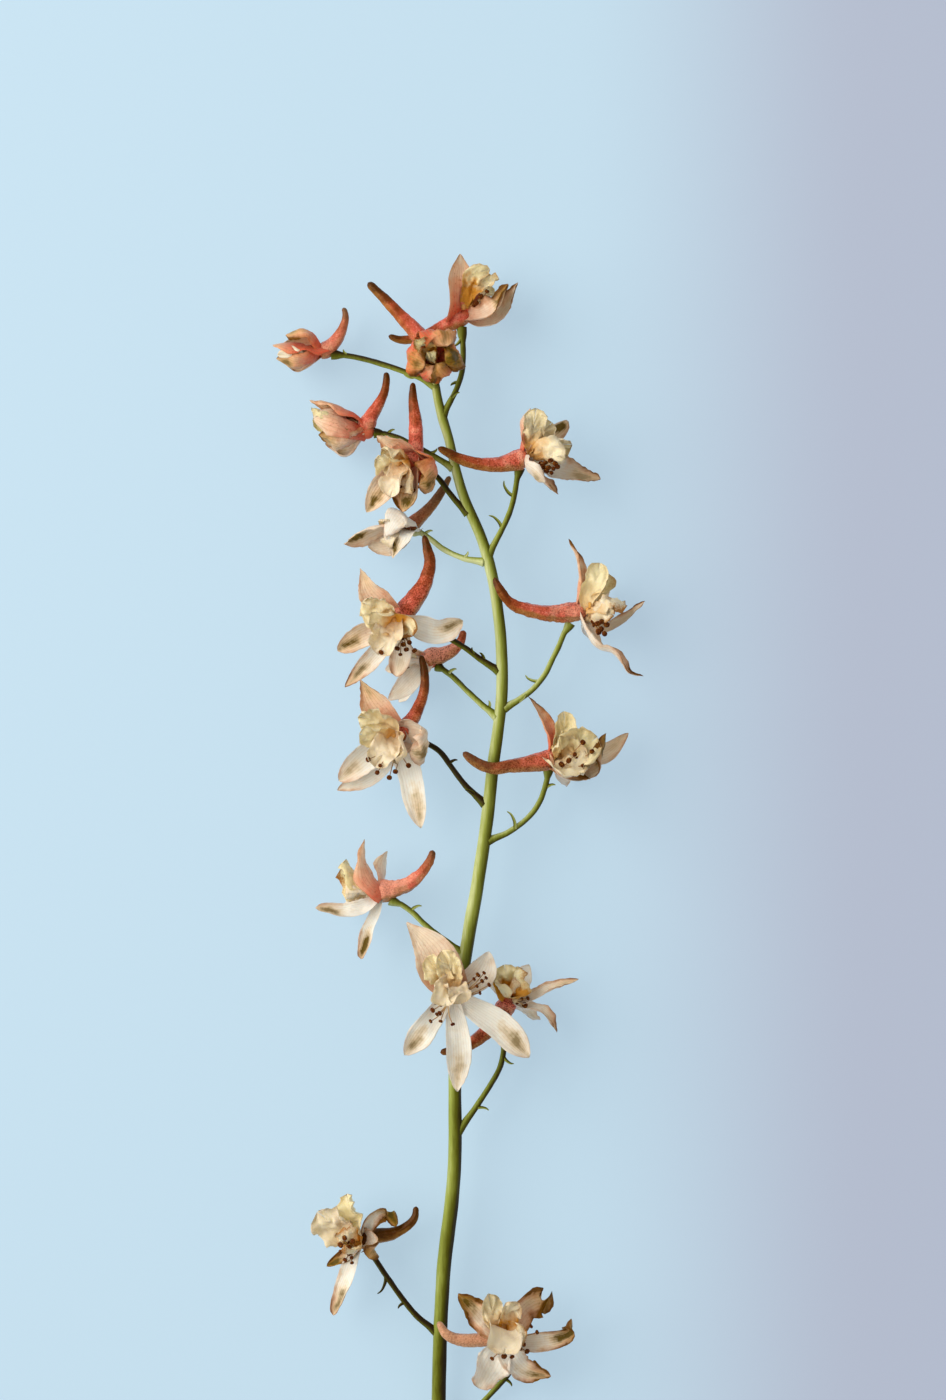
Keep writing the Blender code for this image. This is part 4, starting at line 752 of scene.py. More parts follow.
# Flower 5
# Below flower 4, hanging with its mouth down to the left. Its spur stands straight up, and its right
# sepal curls back on itself with an olive fold.
flower(
    5, throat=(412, 462, 19), facing=(-0.5, -0.45, 0.75),
    spur=[(413, 458, 0, 2.7), (416, 445, 0.2, 2.3), (416, 430, 0.3, 2.1), (415, 415, 0, 1.8),
          (413, 400, -0.5, 1.4), (413, 383, -1, 0.8)],
    sepals=[
        sepal("upper", 14, [(405, 452, 3), (393, 444, 4.4), (377, 438, 3.5)], (0.75, 0.3, 0.8), cup=0.9,
              peak=0.35, tip=0.9, crumple=0.7, claw=0.95),
        sepal("right", 15, [(424, 463, 3), (437, 473, 5.5), (429, 487, 8.5), (419, 488, 9)], (1.15, 1, 1),
              cup=1, tip=0.4, crumple=0.7, claw=0.8),
        sepal("lower", 12.5, [(413, 478, 2.5), (411, 494, 3.5), (403, 513, 3.5)], (0.6, 1.1, 1), cup=0.8,
              tip=0.5, claw=0.7),
        sepal("left", 9, [(398, 474, 1.6), (383, 490, 2.2), (367, 513, 1.6)], (0.45, 1.1, 0.5), cup=0.9),
        sepal("under", 8, [(400, 470, -3), (390, 478, -4.5), (381, 488, -5)], (0.5, 0.3, 0.3)),
    ],
    petals=[
        petal("upper", 6.5, [(400, 457, 4.4), (391, 452, 6.2), (382, 450, 7)], (0.5, 1, 0.3), crumple=1.4),
        petal("upper", 6.5, [(397, 464, 4.8), (387, 463, 6.8), (376, 460, 7.6)], (0.6, 0.8, 0.3),
              crumple=1.4),
        petal("lower", 6, [(399, 476, 5.4), (394, 487, 6.6), (391, 499, 6.8)], (0, 0.5, 0.3)),
        petal("lower", 7, [(409, 474, 6), (411, 485, 7.4), (412, 496, 7.6)], (0.2, 1.2, 1), crumple=1.4),
    ],
    stamens=[(400, 489, 4.6), (405, 493, 5), (409, 486, 5.2), (413, 492, 5)],
    stalk=[(417, 466, 17.4), (428, 471, 17.2), (438, 478, 17), (447, 490, 17), (455, 500, 17),
           (468, 514, 17)],
    bracts=[((430, 472), (432, 465))],
    stalk_tone=(0.95, 0.75), spur_tone=(0.05, 0, 0.8), core_pink=0.9)

# Flower 6
# Behind and below flower 5, mostly hidden. Its white sepals show below, and its spur passes behind
# to the right; its stalk is a fresh light green.
flower(
    6, throat=(409, 527, 9), facing=(-0.6, -0.6, 0.4),
    spur=[(411, 524, 0, 2.4), (420, 516, 0.4, 2), (431, 505, 0.8, 1.6), (441, 491, 1, 1.3),
          (450, 475, 1, 0.8)],
    sepals=[
        sepal("left", 10, [(390, 524, 1.5), (369, 529, 2), (343, 543, 1.5)], (0.4, 1.3, 0.6), cup=0.8,
              tip=0.6),
        sepal("lower left", 8, [(396, 537, -2.6), (383, 543, -3.6), (367, 545, -3.6)], (0.4, 0.2, 0.6),
              cup=0.9),
        sepal("lower", 10, [(402, 530, 4.4), (397, 540, 6), (393, 558, 5.5)], (0, 1.2, 0.5), cup=0.5,
              peak=0.35, tip=1.1, claw=0.9, toward=(-0.3, 0.1, 1)),
        sepal("right", 8, [(410, 536, 1), (408, 543, 1), (402, 548, 0.6)], (0.3, 0.6, 0.7), cup=0.8),
        sepal("upper", 11, [(404, 514, 6), (398, 512, 7.6), (391, 521, 8), (386, 536, 7)], (0.15, 0, 0.4),
              crumple=0.6, claw=0.8),
    ],
    petals=[
        petal("upper", 4.5, [(396, 522, 4.2), (387, 520, 5.6), (378, 521, 6.2)], (0.2, 0.2, 0.3)),
        petal("lower", 4.5, [(396, 531, 3.8), (388, 536, 5), (380, 541, 5.6)], (0.1, 0.2, 0.3)),
    ],
    stamens=[(394, 538, 0.6), (389, 534, 1.4), (398, 543, 0)],
    stalk=[(414, 530, 9), (421, 532, 9.8), (431, 539, 11.5), (442, 548, 13.4), (455, 555, 15.2),
           (466, 559, 16.2), (484, 562, 17)],
    bracts=[((424, 534), (432, 530)), ((463, 558), (468, 552))],
    stalk_tone=(0.05, 0.12), spur_tone=(0.5, 0.2, 0.5), core_pink=0.2)

# Flower 7
# Upper right, mouth to the right. Its long spur runs left in front of the stem, coral to dark brown.
# The petals stand up, and the anthers form a dark clump below.
flower(
    7, throat=(523, 460, 16), facing=(0.93, 0.15, 0.35),
    spur=[(521, 459, 0.4, 3.1), (512, 462, 1.4, 2.8), (498, 465, 3, 2.3), (480, 465, 5, 2),
          (463, 461, 6.2, 1.7), (450, 455, 6.6, 1.4), (438, 449, 6.6, 0.8)],
    sepals=[
        sepal("upper", 7, [(522, 438, 0.4), (521, 422, 0.4), (530, 408, 0.8)], (0.8, 0, 0.6), cup=1.4),
        sepal("far side", 9.5, [(538, 442, -3), (552, 431, -5), (569, 420, -6)], (0.3, 1.4, 0.7), cup=0.8,
              tip=0.5),
        sepal("near side", 9, [(527, 470, 4), (534, 478, 7), (545, 484, 8)], (0.2, 0.7, 0.4), cup=0.9),
        sepal("near lower", 7.5, [(531, 474, 1), (544, 484, 1), (558, 495, 0)], (0.3, 1.2, 0.9), cup=1),
        sepal("far lower", 6.8, [(545, 468, -3), (573, 474, -4), (601, 478, -3)], (0.05, 0.7, 0.95), cup=1,
              twist=0.5, tip=0.5, ripple=0.7, crumple=1, hem=0.6),
    ],
    petals=[
        petal("upper", 6.2, [(531, 441, 1.8), (533, 427, 2.4), (536, 409, 2.4)], (0.5, 0.8, 0.3),
              crumple=2.2, notch=0.4, toward=(0.3, 0, 1)),
        petal("upper", 6.6, [(536, 440, -0.8), (544, 431, -1.2), (552, 422, -1.4)], (0.4, 1, 0.3),
              crumple=2.2, notch=0.4, toward=(0.1, 0.1, 1)),
        petal("lower", 6.4, [(541, 449, 1.6), (556, 445, 2.4), (572, 445, 2.4)], (0.3, 0.8, 0.3),
              crumple=2.2, notch=0.4),
        petal("lower", 7.5, [(538, 453, 4.6), (550, 455, 7), (565, 460, 8)], (0.3, 0.8, 0.3), crumple=1.6),
    ],
    stamens=[(545, 464, 7), (550, 462, 7.4), (555, 465, 7), (548, 469, 7.2), (553, 470, 7), (557, 468, 6.6),
             (551, 474, 6.6), (546, 472, 6.8), (542, 468, 6.8)],
    stalk=[(520, 468, 15.4), (517, 480, 15.5), (515, 492, 15.8), (511, 508, 16.2), (505, 523, 16.6),
           (497, 539, 16.9), (488, 556, 17)],
    bracts=[((513, 496), (504, 482)), ((502, 529), (490, 516))],
    stalk_tone=(0.6, 0.4), spur_tone=(0.1, 0, 0.8))

# Flower 8
# Middle right, mouth to the right, its sepals dried to thin curls. The spur's back is bumpy, and it
# lies over the stem.
flower(
    8, throat=(579, 613, 15), facing=(0.93, -0.1, 0.35),
    spur=[(576, 612, 0.4, 2.7), (567, 613, 1, 2.6), (555, 614, 2.2, 2.4), (538, 612, 3.8, 2.1),
          (520, 608, 5.2, 1.9), (508, 601, 5.8, 1.6), (500, 590, 6, 1.3), (494, 578, 6, 0.8)],
    sepals=[
        sepal("upper", 5, [(578, 588, 0.4), (578, 564, 0.8), (568, 539, 0.4)], (0.6, 0, 1), cup=1.4),
        sepal("near side", 4.2, [(601, 629, -1.4), (624, 619, -1), (645, 601, 0)], (0.3, 0.3, 1), cup=1.3),
        sepal("near lower", 6.5, [(586, 631, 2), (597, 648, 2.4), (615, 655, 2.4), (628, 673, 1.8),
              (644, 676, 1.2)], (0.2, 0.2, 1), cup=1.3, peak=0.3, claw=0.9),
        sepal("far side", 9, [(589, 602, -6), (600, 592, -10.5), (612, 588, -13.5)], (0.2, 0.3, 0.4)),
        sepal("far lower", 9, [(584, 622, -6), (590, 629, -11), (597, 630, -14.7)], (0.1, 0.2, 0.4)),
    ],
    petals=[
        petal("upper", 5.8, [(587, 598, 2.6), (595, 583, 3.4), (600, 563, 3.4)], (0.6, 0.4, 0.3), peak=0.75,
              toward=(-0.1, 0, 1)),
        petal("upper", 7, [(592, 598, 0), (600, 586, -0.2), (606, 572, -0.2)], (0.7, 0.9, 0.8)),
        petal("lower", 8, [(595, 605, 3), (610, 600, 4.2), (627, 606, 4.4)], (0.3, 0.7, 1.8), crumple=1.6),
        petal("lower", 7.5, [(593, 611, 4.6), (603, 611, 7), (613, 615, 8)], (0.2, 0.6, 1.5), crumple=1.6),
    ],
    stamens=[(597, 624, 6.6), (601, 629, 6.2), (606, 625, 6.4), (607, 619, 6.4), (598, 632, 6),
             (604, 634, 6), (601, 622, 6.8)],
    stalk=[(571, 623, 14), (564, 634, 13.8), (559, 646, 14), (552, 660, 14.6), (545, 674, 15.3),
           (534, 688, 16), (520, 699, 16.7), (504, 709, 17)],
    bracts=[((540, 681), (526, 676)), ((514, 703), (525, 695))],
    stalk_tone=(0.35, 0.3), spur_tone=(0, 0, 0.7), core_pink=0.7, bumpy=2.2)

# Flower 9
# Middle left, open and facing the viewer. Cream sepals with olive marks, chunky pale petals and a
# row of dark anthers; the spur curves up behind.
flower(
    9, throat=(400, 620, 20), facing=(-0.3, -0.3, 0.9),
    spur=[(402, 615, -0.4, 3.1), (411, 604, -0.7, 3), (420, 592, -1, 2.6), (427, 578, -1.4, 2.1),
          (430, 562, -2, 1.8), (427, 548, -2.5, 1.4), (424, 535, -3, 0.8)],
    sepals=[
        sepal("upper", 10, [(389, 606, 1.2), (373, 592, 2.4), (361, 569, 3)], (0.55, 0.5, 0.7), cup=0.9,
              peak=0.4, tip=1.1),
        sepal("left", 8, [(382, 627, 0.8), (361, 636, 1.4), (338, 651, 0.6)], (0.4, 1, 0.7), cup=0.8,
              tip=0.55),
        sepal("right", 9, [(417, 624, 1.2), (439, 630, 2.2), (463, 621, 2.6)], (0, 0.9, 0.5), tip=0.55),
        sepal("lower left", 6.5, [(388, 641, 0.2), (368, 664, -0.6), (345, 687, -2)], (0.1, 0.9, 0.9),
              cup=0.9),
        sepal("lower", 8, [(402, 641, 0.6), (403, 658, 0.2), (397, 677, 1.4)], (0.1, 0.4, 0.8), cup=0.8,
              tip=0.35),
    ],
    petals=[
        petal("upper", 7.5, [(386, 613, 4), (374, 609, 5.2), (362, 604, 5.6)], (0.5, 0.1, 0.3), crumple=2.2,
              notch=0.3),
        petal("upper", 7, [(388, 620, 5.2), (380, 621, 7.4), (369, 623, 8)], (0.5, 0.9, 0.3), crumple=1.2),
        petal("lower", 8, [(393, 631, 5.4), (387, 643, 7.2), (380, 656, 7.8)], (0.1, 0.4, 0.3), crumple=1.3,
              notch=0.3),
        petal("lower", 7, [(403, 624, 5.4), (410, 629, 7.2), (414, 637, 7.4)], (0.6, 2.4, 3.2), crumple=1.4),
    ],
    stamens=[(398, 649, 7), (404, 645, 7.2), (410, 643, 7), (415, 651, 6), (382, 653, 8), (401, 655, 6.4),
             (407, 650, 6.6)],
    stalk=[(407, 624, 18), (420, 629, 17), (434, 633, 16.4), (448, 638, 16.4), (465, 648, 16.6),
           (480, 659, 16.8), (499, 671, 17)],
    bracts=[((476, 656), (472, 648)), ((484, 661), (480, 653))],
    stalk_tone=(0.95, 0.8), spur_tone=(0.14, 0, 1))

# Flower 10
# Behind flower 9, its plump coral spur to the right and one cream sepal hanging to the left. Its
# swollen stalk end is dark green.
flower(
    10, throat=(430, 661, 8), facing=(-0.75, -0.4, 0.2),
    spur=[(431, 657, 0, 2.9), (441, 655, 0.4, 2.5), (452, 650, 1, 2), (460, 642, 1.4, 1.5),
          (464, 630, 1.5, 0.9)],
    sepals=[
        sepal("hanging", 7, [(418, 673, 4.2), (405, 687, 5), (388, 700, 4.4)], (0.15, 0.2, 0.5), cup=0.6,
              toward=(-0.4, -0.1, 1)),
        sepal("near side", 6.5, [(414, 658, 3.6), (400, 660, 5), (388, 667, 5)], (0.3, 0.3, 0.3)),
        sepal("far side", 6.5, [(412, 660, -3.6), (398, 664, -5.6), (384, 670, -7.2)], (0.3, 0.3, 0.3)),
        sepal("far lower", 6.5, [(419, 675, -2.8), (409, 690, -5.4), (398, 702, -7.6)], (0.1, 0.2, 0.5)),
        sepal("upper", 6.5, [(412, 648, 0.4), (397, 646, 0.6), (384, 650, 0.6)], (0.5, 0.2, 0.3)),
    ],
    petals=[
        petal("upper", 4, [(413, 655, 1.8), (403, 656, 2.2), (393, 659, 2.2)], (0.3, 0.3, 0.3)),
        petal("lower", 4, [(414, 664, 0.2), (405, 669, 0.2), (396, 675, 0.2)], (0.3, 0.3, 0.3)),
    ],
    stamens=[(412, 671, -0.4), (406, 677, -0.4), (408, 668, -0.6)],
    stalk=[(437, 666, 7.6), (444, 670, 8.6), (453, 677, 10.4), (465, 689, 13.2), (480, 703, 15.8),
           (497, 717, 17)],
    bracts=[((449, 673), (456, 669)), ((488, 710), (489, 701))],
    stalk_tone=(0.75, 0.3), spur_tone=(-0.35, 0.05, 0.9))

# Flower 11
# Lower left, wide open and facing the viewer, with four anthers on white sepals. The spur curves up
# behind it, brown-red at its tip.
flower(
    11, throat=(399, 735, 17), facing=(-0.3, -0.35, 0.88),
    spur=[(403, 731, -0.3, 2.7), (411, 721, 0, 2.3), (417, 711, 0.6, 1.9), (422, 699, 1.2, 1.6),
          (425, 684, 1.5, 1.4), (424, 669, 1.5, 1.2), (421, 655, 1.5, 0.8)],
    sepals=[
        sepal("upper", 11.5, [(390, 717, 1.4), (376, 701, 2.4), (361, 680, 3.2)], (0.6, 0.7, 0.9), cup=0.9,
              peak=0.4, tip=1),
        sepal("right", 13, [(415, 733, 3), (429, 741, 6), (423, 753, 9), (410, 753, 9.6)], (0.3, 0.9, 0.7),
              cup=0.9, tip=0.4, crumple=0.9, claw=0.8),
        sepal("lower right", 9.5, [(408, 757, 1.2), (416, 788, 1.6), (421, 828, 0)], (0, 0.85, 0.4), cup=0.8,
              claw=0.8),
        sepal("left", 9.5, [(381, 745, 0.8), (362, 760, 0.8), (339, 781, -0.6)], (0, 0.65, 0.6), cup=0.8,
              tip=0.6),
        sepal("lower", 7.5, [(389, 757, -0.8), (367, 776, -2.4), (337, 790, -4)], (0, 0.2, 0.7), cup=0.9),
    ],
    petals=[
        petal("upper", 8, [(390, 727, 3.8), (377, 721, 5.2), (359, 715, 5.6)], (0.6, 0.3, 0.3), crumple=2,
              notch=0.3),
        petal("upper", 7, [(387, 735, 5), (374, 735, 7.4), (360, 733, 8)], (0.6, 0.8, 0.3), crumple=1.3),
        petal("lower", 7.5, [(390, 744, 5.6), (383, 755, 7.4), (376, 767, 8)], (0.1, 0.3, 0.3), crumple=1.3,
              notch=0.3),
        petal("lower", 7, [(401, 743, 5.8), (401, 753, 7.6), (398, 764, 8.4)], (0.1, 0.35, 0.3), crumple=1.3,
              notch=0.3),
    ],
    stamens=[(378, 772, 8.8), (390, 777, 8.4), (396, 771, 8.6), (409, 765, 8.6), (381, 765, 9.4),
             (369, 759, 9)],
    stalk=[(407, 737, 15), (418, 740, 14.6), (430, 745, 14.4), (441, 753, 14.6), (452, 768, 15.2),
           (465, 785, 16.2), (485, 804, 17)],
    bracts=[((449, 764), (457, 760)), ((475, 795), (466, 790))],
    stalk_tone=(1, 0.9), spur_tone=(0.25, 0, 1), core_pink=0.9)

# Flower 12
# Lower right, cup-shaped and facing right and up, tan inside with an olive rim. The spur runs left in
# front of the stem.
flower(
    12, throat=(552, 760, 15), facing=(0.78, 0, 0.6),
    spur=[(549, 760, 0.3, 3), (540, 762, 1.4, 2.8), (526, 764, 3.2, 2.4), (510, 766, 5.2, 2),
          (492, 768, 6.6, 1.8), (476, 762, 7, 1.6), (463, 752, 6.8, 1)],
    sepals=[
        sepal("upper", 5.4, [(549, 740, 0.6), (542, 718, 0.8), (528, 696, 1)], (0.85, 0, 1), cup=1.2,
              peak=0.4, tip=1, claw=0.7),
        sepal("near side", 11, [(575, 772, 3), (599, 764, 5.4), (606, 733, 6.4)], (0.45, 1.2, 1.3), cup=1.2,
              claw=0.7),
        sepal("far side", 7.5, [(578, 756, -2.4), (605, 752, -4), (629, 733, -4.8)], (0.3, 0.5, 0.8),
              cup=1.1),
        sepal("near lower", 10.5, [(557, 772, 2.6), (570, 780, 4.6), (590, 779, 6.4)], (0.35, 0.9, 1.3),
              cup=1, claw=0.7),
        sepal("far lower", 9, [(558, 769, -6), (565, 776, -11), (573, 778, -14.7)], (0.3, 0.3, 0.4)),
    ],
    petals=[
        petal("upper", 5.6, [(560, 744, 3.4), (564, 728, 4.8), (563, 711, 5)], (0.6, 0.3, 0.3), crumple=2,
              notch=0.3, toward=(0.2, 0.1, 1)),
        petal("upper", 6, [(559, 750, 5), (562, 741, 7.6), (564, 730, 8.8)], (0.8, 0.8, 0.3), crumple=2,
              notch=0.3, toward=(0.3, 0.2, 1)),
        petal("lower", 10, [(568, 752, 5), (582, 746, 7.6), (597, 737, 8.2)], (0.7, 0.5, 0.5), crumple=2.2,
              toward=(-0.1, 0, 1)),
        petal("lower", 11, [(563, 760, 6), (575, 764, 8.6), (589, 763, 9.8)], (0.3, 0.4, 0.5), crumple=2.4,
              toward=(0.2, 0.2, 1)),
    ],
    stamens=[(574, 754, 11), (568, 760, 11), (591, 751, 11), (561, 764, 10.4), (582, 765, 10.6),
             (582, 742, 10.6)],
    stalk=[(549, 769, 13.2), (547, 781, 12.6), (542, 797, 13), (534, 811, 13.9), (522, 823, 15),
           (507, 833, 16.2), (488, 841, 17)],
    bracts=[((546, 788), (555, 785)), ((515, 829), (508, 812))],
    stalk_tone=(0.5, 0.4), spur_tone=(0.22, 0.1, 1), core_pink=0.9)

# Flower 13
# Left, seen from behind and below, so that its coral upper sepal and spur show their backs. Two white
# sepals hang out to the left and down.
flower(
    13, throat=(382, 893, 16), facing=(-0.9, 0, -0.2),
    spur=[(384, 891, 0, 3.2), (393, 889, 0.3, 2.7), (404, 886, 0.6, 2.2), (414, 880, 0.8, 1.9),
          (423, 871, 0.9, 1.6), (430, 860, 0.9, 1.3), (433, 850, 0.9, 0.9)],
    sepals=[
        sepal("upper", 10, [(377, 884, 2.8), (366, 866, 3.6), (364, 839, 2.4)], (0.75, 0, 0.8), cup=1,
              peak=0.2, tip=1.2, claw=0.85, toward=(-0.9, 0.2, -0.3)),
        sepal("far side", 9, [(384, 877, -3), (385, 864, -5), (387, 852, -6.5)], (0.5, 0.2, 0.5)),
        sepal("left", 6, [(367, 906, 2.4), (345, 912, 3.6), (316, 907, 3.8)], (0, 0.9, 0.7), cup=0.9,
              tip=0.55, toward=(-0.3, 0.4, 0.9)),
        sepal("bottom", 5, [(377, 911, 1.6), (369, 932, 2), (361, 959, 1)], (0.05, 1.3, 0.8), cup=1,
              tip=0.35, toward=(-0.4, 0.2, 0.9)),
        sepal("far lower", 8.5, [(368, 901, -5), (355, 906, -9), (343, 911, -12)], (0.1, 0.4, 0.3)),
    ],
    petals=[
        petal("upper", 8, [(369, 885, -0.6), (356, 875, -0.8), (346, 859, -1)], (0.8, 0.4, 0.3)),
        petal("upper", 7, [(367, 889, -3), (352, 882, -4.6), (340, 870, -5.6)], (0.7, 0.6, 1.2)),
        petal("lower", 6.5, [(367, 893, -0.4), (357, 896, -0.2), (347, 900, 0)], (0, 0.2, 0.3)),
        petal("lower", 6.5, [(366, 895, -3.6), (356, 894, -5.6), (347, 893, -6.8)], (0.1, 0.2, 0.3)),
    ],
    stamens=[(355, 903, -1), (361, 908, -1.6), (353, 909, -2.6), (359, 911, -3.6)],
    stalk=[(390, 900, 15.4), (402, 905, 15), (413, 913, 15), (424, 924, 15.2), (440, 937, 15.8),
           (464, 954, 16.7)],
    bracts=[((411, 911), (421, 906))],
    stalk_tone=(0.45, 0.35), spur_tone=(-0.15, 0.1, 0.4), bumpy=1.8)

# Flower 14
# The broad white flower in the middle, facing the viewer. A wide beige-pink upper sepal, a cupped
# cream petal cluster and three long white lower sepals with olive marks.
flower(
    14, throat=(451, 990, 24), facing=(0.05, -0.15, 1),
    spur=[(449, 985, -1, 2.9), (443, 972, -2.4, 2.6), (436, 959, -3.8, 2), (427, 944, -4.8, 1.6),
          (418, 930, -5.6, 1)],
    sepals=[
        sepal("upper", 14.5, [(443, 970, 0.8), (431, 946, 1), (407, 921, 0.4)], (0.45, 0.2, 0.5), peak=0.3,
              tip=1.1, claw=0.75),
        sepal("left", 8, [(438, 1008, 0.8), (422, 1030, 1.2), (405, 1053, 0)], (0, 0.85, 0.4), cup=0.6,
              peak=0.65),
        sepal("bottom", 8.2, [(456, 1018, 0.8), (459, 1050, 0.8), (457, 1089, -0.6)], (0, 0.6, 0.3), cup=0.6,
              peak=0.6),
        sepal("right", 9.5, [(472, 1004, 0.8), (502, 1024, 1.2), (529, 1055, 0)], (0, 0.85, 0.4), cup=0.6,
              peak=0.68),
        sepal("upper right", 10, [(466, 982, 0.2), (481, 969, -0.2), (489, 950, -0.6)], (0.2, 0, 0.3),
              cup=0.8),
    ],
    petals=[
        petal("upper", 6.4, [(445, 979, 3.6), (437, 967, 5.2), (427, 954, 5.8)], (0.6, 0.6, 0.3), crumple=2,
              notch=0.4),
        petal("upper", 6.4, [(452, 976, 4), (449, 962, 6), (442, 948, 6.6)], (0.6, 0.5, 0.3), crumple=2,
              notch=0.4),
        petal("lower", 6.8, [(448, 984, 6.4), (446, 991, 8.8), (447, 1002, 8.8)], (0.15, 0.3, 0.3), cup=0.4,
              crumple=0.9, toward=(-0.2, 0.1, 1)),
        petal("lower", 6.2, [(454, 984, 6), (458, 990, 8), (460, 1000, 8)], (0.1, 0.3, 0.3), cup=0.4,
              crumple=0.9, toward=(0.3, 0.1, 1)),
    ],
    stamens=[(433, 1007, 4.4), (440, 1010, 4.6), (431, 1018, 4.2), (441, 1018, 4.2), (436, 999, 5),
             (453, 1021, 4.4), (478, 972, 4.6), (486, 975, 4.2), (489, 982, 4), (480, 990, 4.2),
             (474, 976, 5), (482, 978, 4.8), (477, 983, 5), (484, 970, 4.4)],
    stalk=[(452, 996, 21.6), (451, 1008, 20.6), (450, 1022, 19.8), (451, 1040, 18.6), (455, 1064, 16.4)],
    bracts=[],
    stalk_tone=(0.6, 0.4), spur_tone=(0.2, 0.2, 0.5), core_pink=0.3)

# Flower 15
# Behind flower 14 on the right: thin tan sepals reach out to the right, and a speckled coral spur runs
# down to the left behind flower 14.
flower(
    15, throat=(508, 1004, 10), facing=(0.45, 0.65, 0.6),
    spur=[(506, 1008, 0, 2.9), (498, 1020, -0.6, 2.7), (485, 1035, -1.4, 2.2), (465, 1049, -1.8, 1.7),
          (440, 1055, -1.8, 1)],
    sepals=[
        sepal("upper left", 6.5, [(497, 992, -2.6), (489, 982, -4.8), (484, 972, -6)], (0.2, 0.3, 0.3)),
        sepal("right", 5, [(526, 1003, 1.6), (550, 990, 2.6), (579, 980, 2.6)], (0.2, 0.6, 0.9), cup=1.3),
        sepal("lower right", 5, [(526, 1009, 1), (544, 1014, 1.6), (557, 1034, 0.8)], (0.2, 0.6, 0.9),
              cup=1.3),
        sepal("under", 7, [(514, 992, -3.4), (522, 980, -6), (530, 968, -8)], (0.2, 0, 0.3)),
        sepal("lower", 6.5, [(518, 1010, -3.6), (530, 1018, -7), (541, 1024, -9.7)], (0.2, 0.5, 0.5)),
    ],
    petals=[
        petal("upper", 7, [(507, 990, 3.2), (507, 978, 4.2), (504, 965, 4.4)], (0.6, 1.9, 0.3), crumple=1.6,
              toward=(-0.1, 0.2, 1)),
        petal("upper", 7.5, [(512, 990, 4), (515, 979, 6), (519, 967, 6.8)], (0.7, 2.2, 1), crumple=1.6),
        petal("lower", 7, [(504, 994, 5), (500, 987, 7.4), (494, 981, 8.4)], (0.6, 2.2, 0.3)),
        petal("lower", 6.5, [(516, 997, 4.4), (523, 993, 5.6), (530, 990, 6)], (0.3, 2.2, 1.2), crumple=1.6),
    ],
    stamens=[(517, 1003, 2.4), (525, 1006, 2.6), (528, 999, 3), (521, 996, 2.2)],
    stalk=[(505, 1014, 13.2), (504, 1026, 13.8), (504, 1042, 14), (503, 1056, 14), (499, 1070, 14),
           (490, 1086, 14.2), (477, 1106, 14.6), (457, 1134, 14.9)],
    bracts=[((504, 1046), (513, 1052)), ((503, 1056), (513, 1064)), ((475, 1109), (488, 1110))],
    stalk_tone=(0.75, 0.4), spur_tone=(0.1, 0, 1), core_pink=0.8)

# Flower 16
# Bottom left, withered. Crumpled cream petals, one curled ochre sepal, one long white sepal hanging
# and a dark brown spur to the right.
flower(
    16, throat=(362, 1244, 11), facing=(-0.6, 0.1, 0.8),
    spur=[(366, 1241, 0, 2.6), (376, 1238, 0.3, 2.4), (390, 1236, 0.6, 2), (404, 1230, 1, 1.5),
          (414, 1220, 1, 1.2), (416, 1208, 1, 0.8)],
    sepals=[
        sepal("upper", 6.2, [(367, 1229, 2.4), (376, 1216, 3.6), (389, 1212, 4.4), (396, 1227, 4.6)],
              (0.05, 1.2, 1.6), cup=1.2, tip=0.4, toward=(0.3, 0.3, 1)),
        sepal("lower", 6.8, [(354, 1262, 0.8), (345, 1288, 1), (333, 1318, 0)], (0.05, 0.9, 0.9), cup=1,
              tip=0.55),
        sepal("right", 8.5, [(369, 1240, 3.6), (375, 1248, 5.8), (369, 1258, 6.6)], (0.2, 0.9, 1.3),
              tip=0.45),
        sepal("lower left", 4.5, [(352, 1255, -0.4), (339, 1262, -0.6), (326, 1269, -0.6)], (0.3, 1.4, 1.6)),
        sepal("under", 8.5, [(352, 1240, -3.4), (338, 1237, -5.6), (322, 1233, -6.6)], (0.1, 0, 0.3)),
    ],
    petals=[
        petal("upper", 7, [(357, 1228, 3.6), (352, 1212, 4.4), (347, 1194, 4.4)], (0.6, 0.2, 0.3), crumple=2,
              notch=0.3),
        petal("upper", 9, [(349, 1236, 3.6), (334, 1225, 4.6), (317, 1212, 4.8)], (0.1, 0.3, 0.3),
              crumple=2.2, notch=0.3),
        petal("lower", 7, [(353, 1240, 5), (346, 1239, 7.6), (337, 1234, 8.8)], (0.3, 1.4, 1.3),
              crumple=1.8),
        petal("lower", 7, [(357, 1246, 4.8), (351, 1251, 7), (344, 1255, 7.8)], (0.3, 1.4, 1.3),
              crumple=1.8),
    ],
    stamens=[(345, 1236, 9.6), (353, 1239, 9.4), (349, 1246, 9), (341, 1243, 9.2), (349, 1254, 4.4),
             (345, 1260, 4.8), (352, 1263, 4.6), (340, 1252, 4.4)],
    stalk=[(367, 1250, 9.4), (372, 1258, 9.2), (379, 1269, 9.2), (389, 1284, 9.2), (402, 1302, 9.2),
           (416, 1319, 9.2), (438, 1337, 9.3)],
    bracts=[((385, 1278), (378, 1296)), ((405, 1306), (398, 1311))],
    stalk_tone=(0.95, 0.95), spur_tone=(0.95, 0, 0.3), core_pink=0.3)

